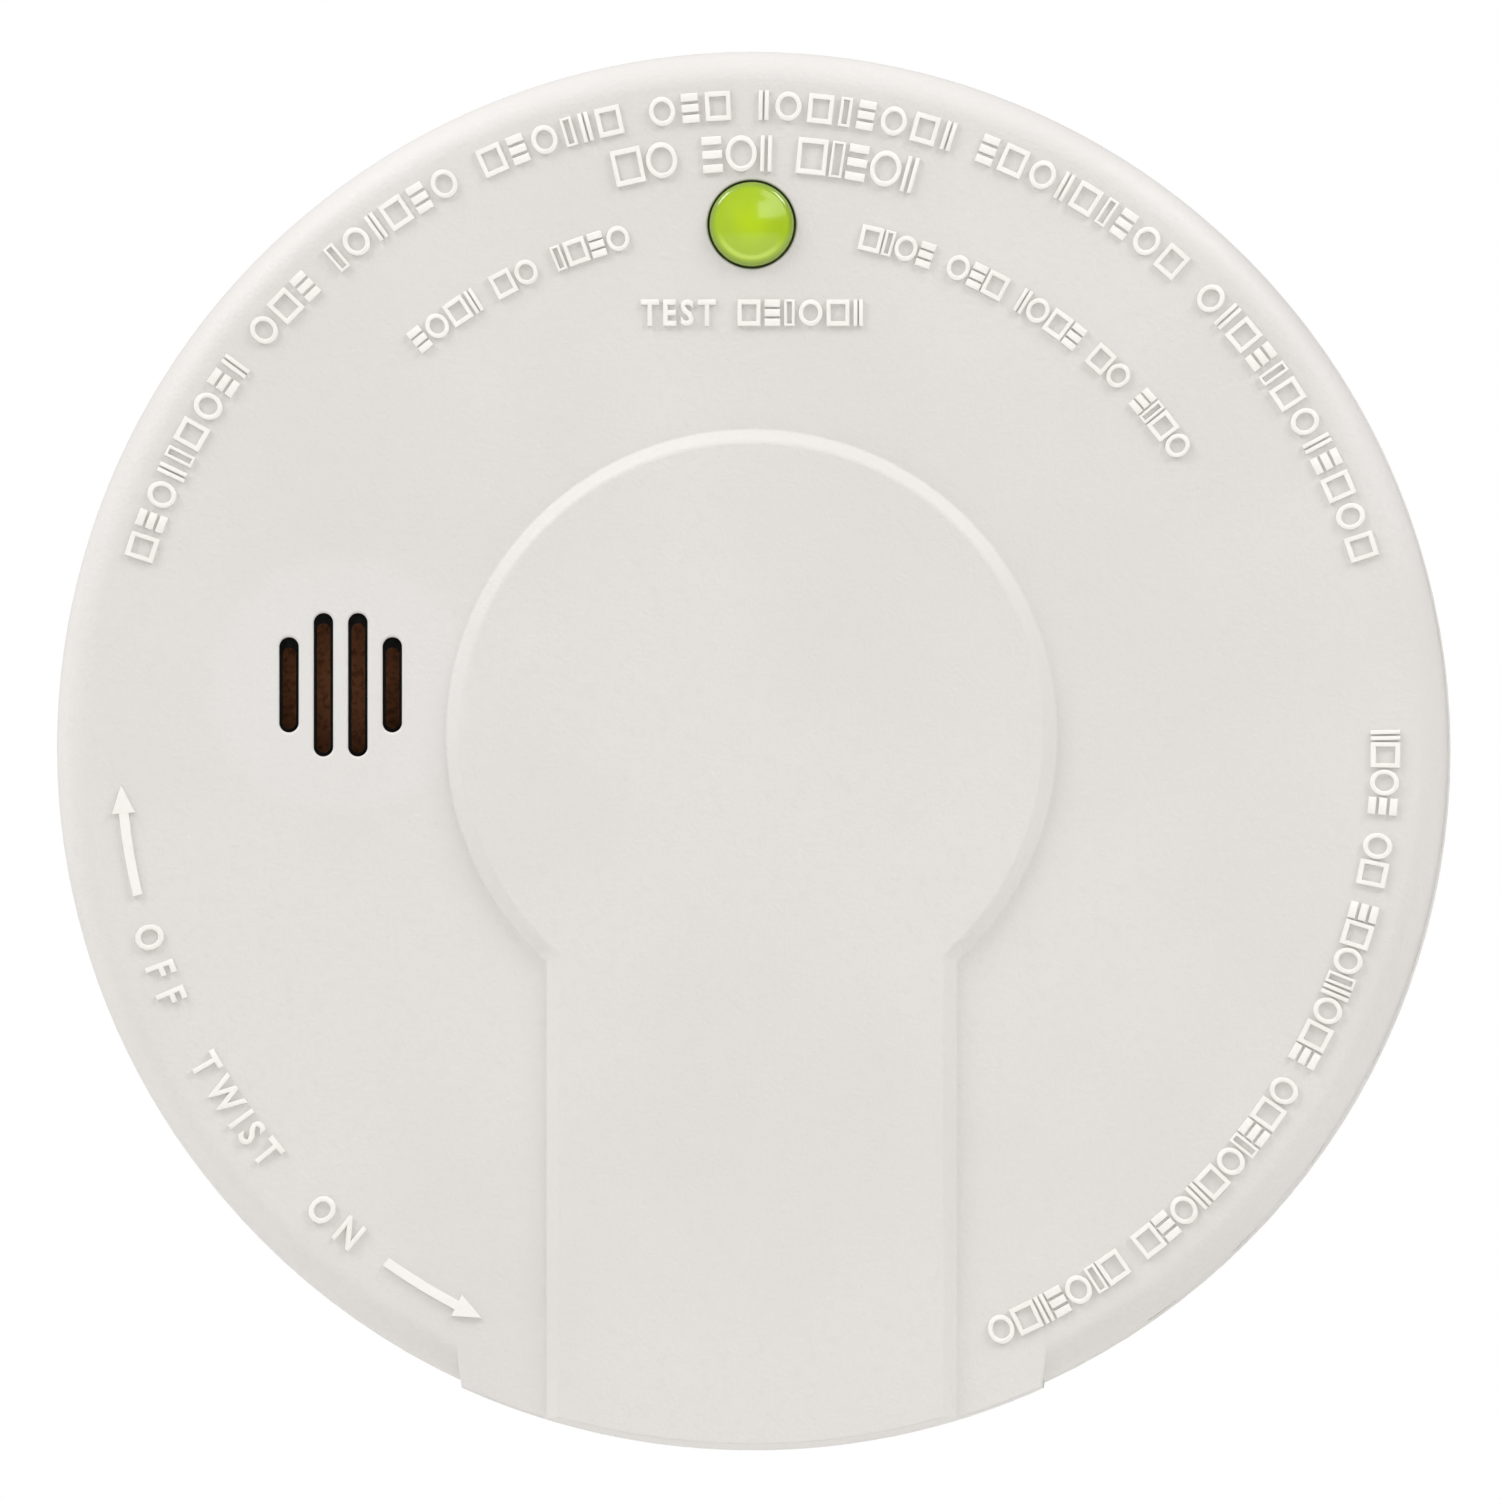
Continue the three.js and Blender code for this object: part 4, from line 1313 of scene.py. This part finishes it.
@dataclass
class BaseHousing:
    """The back shell: skirt, floor, locating lip, battery well and the bayonet's openings."""

    wall: float = 1.9
    floor_back: float = 4.5
    floor_front: float = 6.5
    lip_outer: float = 68.3
    lip_inner: float = 66.9
    lip_top: float = 17.5
    parting: float = 14.0
    well_wall: float = 1.6
    well_corner: float = 1.2
    well_floor: float = 29.0
    well_play: float = 1.0
    well_end_play: float = 3.9
    twist: float = 18.0
    track_inner: float = 53.0
    track_outer: float = 56.6
    mouth_outer: float = 60.0
    opening_half: float = 6.2
    lug_side: float = 4.1
    lug_half: float = 1.5
    lug_wall: float = 0.8
    pin_bore: float = 1.0
    mark_half: float = 1.6
    stroke_half: float = 0.45
    bosses: tuple[Point, ...] = ((-42.0, 35.0), (53.0, 18.0), (-52.0, -5.0))
    boss_radius: float = 3.2
    boss_top: float = 11.7

    def __post_init__(self) -> None:
        """Takes the base's place from the frame."""
        low, high = bench_box("base_housing")
        self.radius = (high.x - low.x) / 2
        self.low = low.z
        case_low, case_high = bench_box("battery_case")
        _, cap_high = bench_box("battery_end_cap")
        self.well_low = Vector((case_low.x - self.well_play, case_low.y - self.well_play, 0))
        self.well_high = Vector((cap_high.x + self.well_end_play, case_high.y + self.well_play, 0))

    def dish(self) -> Solid:
        """Turns the skirt, the floor and the lip in one.

        Returns:
            The solid.
        """
        inner = self.radius - self.wall
        section = [(0.0, self.floor_back), (inner - 0.6, self.floor_back), (inner, self.floor_back - 0.6)]
        section += [(inner, self.low + 0.3), (inner + 0.3, self.low), (self.radius - 0.5, self.low)]
        section += arc((self.radius - 0.5, self.low + 0.5), 0.5, -90, 0, 3)[1:]
        section += [(self.radius, self.parting - 0.6), (self.radius - 0.5, self.parting)]
        section += [(self.lip_outer, self.parting), (self.lip_outer, self.lip_top - 0.5)]
        section += [(self.lip_outer - 0.4, self.lip_top), (self.lip_inner + 0.3, self.lip_top)]
        section += [(self.lip_inner, self.lip_top - 0.3), (self.lip_inner, self.floor_front + 0.8)]
        section += [(self.lip_inner - 0.8, self.floor_front), (0.0, self.floor_front)]
        return turned(section, 144)

    def well(self, grow: float, low: float, high: float) -> Solid:
        """Makes the well's box, larger all round, between two heights.

        Args:
            grow: How much larger it is on each side.
            low: The lower height.
            high: The upper height.

        Returns:
            The solid.
        """
        middle = (self.well_low + self.well_high) / 2
        half = (self.well_high - self.well_low) / 2
        ring = Ring(half.x + grow, half.y + grow, self.well_corner + grow, low, 24)
        return moved(lofted([ring, ring.at(high)]), middle.x, middle.y)

    def well_mouth(self) -> Solid:
        """Makes the cutter of the well, with a soft edge at its mouth.

        Returns:
            The cutter.
        """
        middle = (self.well_low + self.well_high) / 2
        half = (self.well_high - self.well_low) / 2
        ring = Ring(half.x, half.y, self.well_corner, self.well_floor, 24)
        mouth = [ring, ring.at(self.floor_back + 0.5), ring.at(self.floor_back, 0.4)]
        return moved(lofted([*mouth, ring.at(self.floor_back - PAST, 0.4)]), middle.x, middle.y)

    def opening(self, angle: float) -> Solid:
        """Makes the cutter of one bayonet opening: a narrow track and its wide mouth.

        Args:
            angle: Where the hook stands in it when the alarm is locked, in degrees.

        Returns:
            The cutter.
        """
        low = self.floor_back - PAST
        tall = self.floor_front - self.floor_back + 2 * PAST
        half = self.opening_half
        end = angle + self.twist + half
        track = ring_piece(self.track_inner, self.track_outer, angle - half, end, low, tall)
        start = angle + self.twist - half
        mouth = ring_piece(self.track_inner, self.mouth_outer, start, end, low, tall)
        return worked(track, Join.ADD, mouth)

    def lugs(self) -> Solid:
        """Makes the two lugs that hold the finger's pin.

        Returns:
            The lugs, as one solid.
        """
        pin = bench_middle("finger_pin")
        half, wall = self.lug_half, self.lug_wall
        solids = []
        for side in (-1, 1):
            y = pin.y + side * self.lug_side
            low = (pin.x - half, y - wall, pin.z - half)
            lug = block(low, (pin.x + half, y + wall, self.well_floor + 0.8), 0.15)
            bore = lofted([disc(self.pin_bore, y - 2, 16), disc(self.pin_bore, y + 2, 16)])
            turn = Matrix.Translation((pin.x, 0, pin.z)) @ Matrix.Rotation(math.radians(-90), 4, "X")
            bmesh.ops.transform(bore, matrix=turn, verts=bore.verts)
            solids.append(worked(lug, Join.CUT, bore))
        return gathered(solids)

    def polarity(self) -> Solid:
        """Makes the raised plus and minus beside the well's contacts.

        Returns:
            The marks, as one solid.
        """
        solids = []
        half, stroke = self.mark_half, self.stroke_half
        x = self.well_high.x + 2.8
        for contact, plus in (("battery_contact_positive", True), ("battery_contact_negative", False)):
            y = bench_middle(contact).y
            top, foot = self.floor_back + 0.3, self.floor_back - 0.6
            solids.append(block((x - half, y - stroke, foot), (x + half, y + stroke, top), 0.08))
            if plus:
                low = (x - stroke, y - half, foot + 0.02)
                solids.append(block(low, (x + stroke, y + half, top), 0.08))
        return gathered(solids)

    def build(self) -> None:
        """Builds the base."""
        well = self.well(self.well_wall, 5.5, self.well_floor + self.well_wall)
        solid = worked(self.dish(), Join.ADD, well)
        solid = worked(solid, Join.CUT, self.well_mouth())
        solid = worked(solid, Join.ADD, self.lugs())
        posts = []
        for x, y in self.bosses:
            ring = disc(self.boss_radius, 5.5, 32)
            posts.append(moved(lofted([ring, ring.at(7.0), ring.at(self.boss_top, -0.3)]), x, y))
        solid = worked(solid, Join.ADD, gathered(posts))
        for angle in HOOK_ANGLES:
            solid = worked(solid, Join.CUT, self.opening(angle))
        finish = MouldedPlastic("base_abs", "#D9D5D1", "#D5D1CC", 0.52, 0.5, 0.01, 22.0)
        deliver(solid, "base_shell", finish, Fitting("alarm", "shell_plastic", ("base_housing",)))
        deliver(self.polarity(), "polarity_marks", finish, Fitting("alarm", "shell_plastic"))


@dataclass
class MountingBracket:
    """The wall ring: rims, two keyholes, three bayonet hooks, and pockets that keep its wall even."""

    plate: float = 2.4
    rim: float = 1.5
    rim_top: float = 3.6
    bore: float = 38.0
    spacing: float = 88.9
    head_radius: float = 4.2
    neck: float = 2.2
    reach: float = 8.0
    leg: tuple[Point, ...] = ((53.6, 56.0), (-5, 5), (1.2, 7.6))
    arm: tuple[Point, ...] = ((53.5, 59.4), (-5.1, 5.1), (7.2, 1.6))
    pocket_spans: tuple[Point, ...] = ((12, 50), (54, 86), (94, 126), (130, 168))
    pocket_rings: tuple[Point, ...] = ((41.5, 49.0), (51.0, 60.5))
    pocket_depth: float = 1.1

    def __post_init__(self) -> None:
        """Takes the bracket's place from the frame."""
        low, high = bench_box("mounting_bracket")
        self.radius = (high.x - low.x) / 2

    def ring(self) -> Solid:
        """Turns the plate and its rims.

        Returns:
            The solid.
        """
        soft = 0.35
        section = [
            (self.bore + soft, 0.0),
            (self.radius - soft, 0.0),
            (self.radius, soft),
            (self.radius, self.rim_top - soft),
            (self.radius - soft, self.rim_top),
            (self.radius - self.rim + soft, self.rim_top),
            (self.radius - self.rim, self.rim_top - soft),
            (self.radius - self.rim, self.plate),
            (self.bore + self.rim, self.plate),
            (self.bore + self.rim, self.rim_top - soft),
            (self.bore + self.rim - soft, self.rim_top),
            (self.bore + soft, self.rim_top),
            (self.bore, self.rim_top - soft),
            (self.bore, soft),
            (self.bore + soft, 0.0),
        ]
        return turned(section, 128)

    def keyhole(self, side: int) -> Solid:
        """Makes the cutter of one keyhole: a round hole for the screw's head and its neck.

        Args:
            side: -1 for the left keyhole, 1 for the right one.

        Returns:
            The cutter.
        """
        x = side * self.spacing / 2
        top = self.rim_top + PAST
        head = disc(self.head_radius, top, 40)
        hole = moved(lofted([head, head.at(0.3), head.at(0.0, 0.3), head.at(-PAST, 0.3)]), x)
        slot = Ring(self.neck, self.reach / 2 + self.neck, self.neck, top, 24)
        neck = lofted([slot, slot.at(0.3), slot.at(0.0, 0.3), slot.at(-PAST, 0.3)])
        return worked(hole, Join.ADD, moved(neck, x, side * self.reach / 2))

    def hook(self, angle: float) -> Solid:
        """Makes one bayonet hook: its leg, and the arm that grips the base's floor.

        Each is given by its two radii, its two sides in degrees, and its foot and how tall it is.

        Args:
            angle: Where it stands, in degrees.

        Returns:
            The solid.
        """
        leg, arm = [
            ring_piece(inner, outer, angle + start, angle + end, low, tall)
            for (inner, outer), (start, end), (low, tall) in (self.leg, self.arm)
        ]
        return worked(leg, Join.ADD, arm)

    def pockets(self) -> Solid:
        """Makes the cutters of the shallow pockets in the back, between its ribs.

        Returns:
            The cutters, as one solid.
        """
        solids = []
        tall = PAST + self.pocket_depth
        for start, end in self.pocket_spans:
            for turn in (0, 180):
                for inner, outer in self.pocket_rings:
                    solids.append(ring_piece(inner, outer, start + turn, end + turn, -PAST, tall))
        return gathered(solids)

    def build(self) -> None:
        """Builds the bracket."""
        solid = worked(self.ring(), Join.CUT, self.pockets())
        for side in (-1, 1):
            solid = worked(solid, Join.CUT, self.keyhole(side))
        for angle in HOOK_ANGLES:
            solid = worked(solid, Join.ADD, self.hook(angle))
        finish = MouldedPlastic("bracket_abs", "#E0DDD8", "#DBD8D2", 0.45, 0.6, 0.006, 22.0)
        deliver(solid, "bracket_ring", finish, Fitting("bracket", "bracket_plastic", ("mounting_bracket",)))


# ---------------------------------------------------------------- battery


@dataclass
class Battery:
    """The nine-volt block: a printed jacket, an end cap and two snap terminals."""

    corner: float = 2.2
    cap_corner: float = 1.6
    band_start: float = 11.5

    def __post_init__(self) -> None:
        """Takes the battery's place from the frame."""
        self.low, self.high = bench_box("battery_case")
        self.cap_low, self.cap_high = bench_box("battery_end_cap")
        self.middle = (self.low + self.high) / 2

    def lying(self, solid: Solid, x: float, y: float, z: float) -> Solid:
        """Lays a solid that stands on Z along X, then moves it.

        Args:
            solid: The solid to lay down.
            x: How far along X.
            y: How far along Y.
            z: How far along Z.

        Returns:
            The same solid.
        """
        turn = Matrix.Rotation(math.radians(90), 4, "Y")
        bmesh.ops.transform(solid, matrix=Matrix.Translation((x, y, z)) @ turn, verts=solid.verts)
        return solid

    def jacket(self) -> Solid:
        """Makes the jacket, rolled over at both ends.

        Returns:
            The solid.
        """
        half_y = (self.high.y - self.low.y) / 2
        half_z = (self.high.z - self.low.z) / 2
        length = self.high.x - self.low.x
        ring = Ring(half_z, half_y, self.corner, 0.0, 40)
        levels = [ring.at(0.0, -0.7), ring.at(0.12, -0.25), ring.at(0.5)]
        levels += [ring.at(length - 0.5), ring.at(length - 0.12, -0.25), ring.at(length, -0.7)]
        return self.lying(lofted(levels), self.low.x, self.middle.y, self.middle.z)

    def terminal(self, y: float, positive: bool) -> Solid:
        """Makes a snap terminal: a waisted stud, or a crown of bent petals.

        Args:
            y: Where it stands.
            positive: Whether it is the stud.

        Returns:
            The terminal.
        """
        foot = self.cap_high.x + 0.3
        if positive:
            section = [(0.0, 0.0), (2.85, 0.0), (2.85, 0.25), (2.35, 0.45), (2.35, 0.9)]
            section += [(2.75, 1.3), (2.6, 1.6), (2.1, 1.8), (0.0, 1.8)]
            return self.lying(turned(section, 40), foot, y, self.middle.z)
        section = [(0.0, 0.0), (3.6, 0.0), (3.6, 0.3), (3.1, 0.6), (3.1, 1.0)]
        section += [(3.9, 1.55), (3.8, 1.75), (3.45, 1.7), (2.75, 1.1), (2.6, 0.6), (0.0, 0.6)]
        crown = turned(section, 36)
        gaps = [
            moved(block((2.4, -0.28, 0.7), (4.5, 0.28, 2.5)), 0, 0, 0, 60 * i) for i in range(6)
        ]
        crown = worked(crown, Join.CUT, gathered(gaps))
        return self.lying(crown, foot, y, self.middle.z)

    def build(self) -> None:
        """Builds the battery."""
        band = self.low.x + self.band_start
        bands = ((band - 1.2, band - 0.7, "#E8E4DA"), (band, self.low.x + 60, "#A8642F"))
        jacket = BandedSkin("battery_jacket", bands)
        fitting = Fitting("battery", "battery_wrap", ("battery_case",))
        deliver(self.jacket(), "battery_jacket", jacket, fitting)
        half_y = (self.cap_high.y - self.cap_low.y) / 2
        half_z = (self.cap_high.z - self.cap_low.z) / 2
        ring = Ring(half_z, half_y, self.cap_corner, 0.0, 40)
        tall = self.cap_high.x - self.cap_low.x
        cap = lofted([ring, ring.at(tall - 0.25), ring.at(tall, -0.25)])
        cap = self.lying(cap, self.cap_low.x, self.middle.y, self.middle.z)
        black = CastResin("moulded_black")
        deliver(cap, "battery_top", black, Fitting("battery", "black_plastic", ("battery_end_cap",)), 50.0)
        nickel = PlainMetal("nickel_plate", "#CFCDC6", "#A6A49C", 0.24)
        for name, positive in (("battery_terminal_positive", True), ("battery_terminal_negative", False)):
            solid = self.terminal(bench_middle(name).y, positive)
            piece = "snap_stud" if positive else "snap_crown"
            deliver(solid, piece, nickel, Fitting("battery", "plated_steel", (name,)))


# ---------------------------------------------------------------- inside


@dataclass
class Horn:
    """The sounder behind the slots: a brass disc, and a black sheet of painted shadow that frames each
    slot.
    """

    cover: FrontCover
    shadow_sheet_radius: float = 14.6
    shadow_sheet_low: float = 36.7
    shadow_sheet_top: float = 37.5
    # The insets set how far the painted shadow reaches into each slot: furthest at the top, where light
    # from above leaves the deepest shade.
    side_inset: float = 0.3
    top_inset: float = 1.0
    foot_inset: float = 0.4

    def shadow_sheet(self) -> Solid:
        """Makes the black sheet of painted shadow, whose openings are a little smaller than the cover's
        slots.

        Returns:
            The solid.
        """
        horn = self.cover.horn
        ring = disc(self.shadow_sheet_radius, self.shadow_sheet_low, 64)
        solid = moved(lofted([ring, ring.at(self.shadow_sheet_top)]), horn.x, horn.y)
        half = self.cover.slot_width / 2 - self.side_inset
        holes = []
        for x, length in self.cover.slots:
            low, high = self.foot_inset - length / 2, length / 2 - self.top_inset
            hole = Ring(half, (high - low) / 2, half, self.shadow_sheet_low - PAST, 16)
            cutter = lofted([hole, hole.at(self.shadow_sheet_top + PAST)])
            holes.append(moved(cutter, horn.x + x, horn.y + (low + high) / 2))
        return worked(solid, Join.CUT, gathered(holes))

    def build(self) -> None:
        """Builds the horn."""
        # This black sheet is painted shadow: it stands where the slots' edges throw shade on the sounder.
        shadow_black = CastResin("painted_shadow_black", "#040404", "#0C0B0A", 0.95, 0.25, 0.05)
        deliver(self.shadow_sheet(), "slot_shadow_sheet", shadow_black, Fitting("alarm", "black_plastic"))
        low, high = bench_box("piezo_disc")
        middle = (low + high) / 2
        radius = (high.x - low.x) / 2
        section = [(0.0, low.z), (radius - 0.1, low.z), (radius, low.z + 0.1), (radius, high.z - 0.1)]
        section += [(radius - 0.15, high.z), (10.4, high.z), (10.2, high.z - 0.06), (0.0, high.z - 0.06)]
        solid = moved(turned(section, 96), middle.x, middle.y)
        brass = PlainMetal("dull_brass", "#C28058", "#956244", 0.5, 0.25, 0.5)
        deliver(solid, "sounder_disc", brass, Fitting("alarm", "sheet_brass", ("piezo_disc",)))


@dataclass
class Inside:
    """The parts that show only through the vents and the open well, kept as the frame has them."""

    def build(self) -> None:
        """Dresses the inner parts."""
        black = CastResin("moulded_black")
        tin = PlainMetal("tin_plate")
        ceramic = CastResin("fired_ceramic", "#D9D4C4", "#EDE9DC", 0.55)
        brass = PlainMetal("rolled_brass", "#A9722C", "#5E3A18", 0.42, 0.25)
        red = CastResin("moulded_red", "#C4211C", "#D8463C", 0.32, 0.4, 0.004)
        maroon = CastResin("dipped_maroon", "#8A2A22", "#A8483C", 0.2)
        dress(black, "controller_chip", "horn_inductor", "switch_body", "switch_plunger")
        dress(black, "resonator_housing")
        dress(tin, "board_screw_1", "board_screw_2", "board_screw_3", "finger_spring")
        dress(tin, "horn_contact_1", "horn_contact_2", "horn_contact_3", "chamber_can", "collector_plate")
        dress(tin, "source_holder", "battery_contact_positive", "battery_contact_negative", "finger_pin")
        dress(ceramic, "piezo_ceramic", "chamber_insulator")
        dress(brass, "source_foil")
        dress(red, "status_lamp", "reminder_finger")
        dress(maroon, "film_capacitor", "diode")
        dress(BoardLaminate("etched_board"), "circuit_board")
        dress(PrintedLabel("printed_label"), "rating_label")
        dress(MouldedPlastic("guide_abs"), "button_guide")
        sleeve = CastResin("shrunk_sleeve", "#1D2F5A", "#31467A", 0.25)
        dress(sleeve, "electrolytic_capacitor_1", "electrolytic_capacitor_2")
        lacquer = CastResin("resistor_coat", "#C9A877", "#DCC297", 0.3)
        dress(lacquer, "resistor_1", "resistor_2", "resistor_3", "resistor_4")


# ---------------------------------------------------------------- studio


@dataclass
class Studio:
    """A pale floor, soft daylight from all sides, three soft lights and the camera."""

    distance: float = 6.0
    view_width: float = 0.1524
    azimuth: float = 0.7
    elevation: float = -0.7
    floor_drop: float = 0.128
    floor_half: float = 1.6
    front: float = 0.255
    sides: float = 0.56
    top: float = 0.09
    left: float = 0.3

    def floor(self) -> None:
        """Lays the floor below the hung alarm."""
        low, _ = CAD_BOUNDS
        solid = bmesh.new()
        place = Matrix.Translation((0, 0, low.z - self.floor_drop))
        bmesh.ops.create_grid(solid, x_segments=8, y_segments=8, size=self.floor_half, matrix=place)
        mesh = meshed(solid, "studio_floor")
        paint = MouldedPlastic("floor_paint", "#F4F4F2", "#F0F0EE", 0.6, 2.0, 0.01, 300.0)
        mesh.materials.append(paint.make())
        floor = stood("studio_floor", mesh)
        floor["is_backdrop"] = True

    def sky(self) -> None:
        """Sets a soft surround, brighter at the sides and overhead, that the camera sees as white."""
        world = bpy.data.worlds.new("soft_surround")
        world.use_nodes = True
        tree = world.node_tree
        tree.nodes.clear()
        way = add(tree, "ShaderNodeTexCoord").outputs["Generated"]
        across = add(tree, "ShaderNodeSeparateXYZ", {0: way}).outputs["Y"]
        square = number(tree, "MULTIPLY", across, across)
        ring = number(tree, "MULTIPLY_ADD", square, -self.sides, self.front + self.sides)
        tilt = vector(tree, "DOT_PRODUCT", way, (-self.left, 0, self.top))
        soft = number(tree, "ADD", ring, tilt)
        lit = add(tree, "ShaderNodeBackground", {"Color": soft})
        seen = add(tree, "ShaderNodeBackground", {"Color": linear("#FFFFFF")})
        ray = add(tree, "ShaderNodeLightPath").outputs["Is Camera Ray"]
        both = add(tree, "ShaderNodeMixShader", {0: ray, 1: lit.outputs[0], 2: seen.outputs[0]})
        add(tree, "ShaderNodeOutputWorld", {"Surface": both.outputs[0]})
        bpy.context.scene.world = world

    def lamp(self, name: str, place: Sequence[float], size: Point, power: float) -> None:
        """Hangs a rectangular soft light that faces the alarm.

        Args:
            name: The light's name.
            place: Where it hangs, in metres.
            size: Its width and height, in metres.
            power: Its power in watts.
        """
        light = bpy.data.lights.new(name, "AREA")
        light.shape = "RECTANGLE"
        light.size, light.size_y = size
        light.energy = power
        lamp = stood(name, light)
        lamp.location = place
        lamp.rotation_euler = Vector(place).to_track_quat("Z", "Y").to_euler()

    def camera(self) -> None:
        """Stands the camera straight before the face, far off, a little to the lower right."""
        data = bpy.data.cameras.new("front_camera")
        data.sensor_width = 36.0
        data.lens = data.sensor_width * self.distance / self.view_width
        data.clip_start, data.clip_end = 0.1, 100.0
        camera = stood("front_camera", data)
        across, up = math.radians(self.azimuth), math.radians(self.elevation)
        away = Vector((math.sin(across) * math.cos(up), -math.cos(across) * math.cos(up), math.sin(up)))
        target = Vector((-0.00016, CAD_BOUNDS[0].y, -0.00036))
        camera.location = target + away * self.distance
        camera.rotation_mode = "QUATERNION"
        camera.rotation_quaternion = away.to_track_quat("Z", "Y")
        bpy.context.scene.camera = camera

    def build(self) -> None:
        """Sets up the studio."""
        self.camera()
        self.floor()
        self.sky()
        self.lamp("left_key_light", (-0.85, -0.5, 0.9), (0.5, 0.5), 6.6)
        self.lamp("right_key_light", (0.85, -0.5, 0.9), (0.5, 0.5), 7.4)
        self.lamp("window_light", (0.36, -1.09, 0.42), (0.45, 0.4), 1.3)
        scene = bpy.context.scene
        scene.view_settings.view_transform = "Standard"
        scene.view_settings.look = "None"


# ---------------------------------------------------------------- the whole alarm


def write_sizes() -> None:
    """Gathers the CAD model's box and the visual model's box as rows; they are not written anywhere."""
    boxes = {"cad": CAD_BOUNDS, "visual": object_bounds()}
    rows = {name: [list(corner) for corner in box] for name, box in boxes.items()}


def main() -> None:
    """Builds the alarm's pieces in order."""
    logging.basicConfig(level=logging.INFO, format="%(name)s %(message)s")
    Studio().build()
    cover = FrontCover()
    cover.build()
    FaceMarkings(cover).build()
    TestButton().build()
    BaseHousing().build()
    MountingBracket().build()
    Battery().build()
    Horn(cover).build()
    Inside().build()
    write_sizes()


if __name__ == "__main__":
    main()
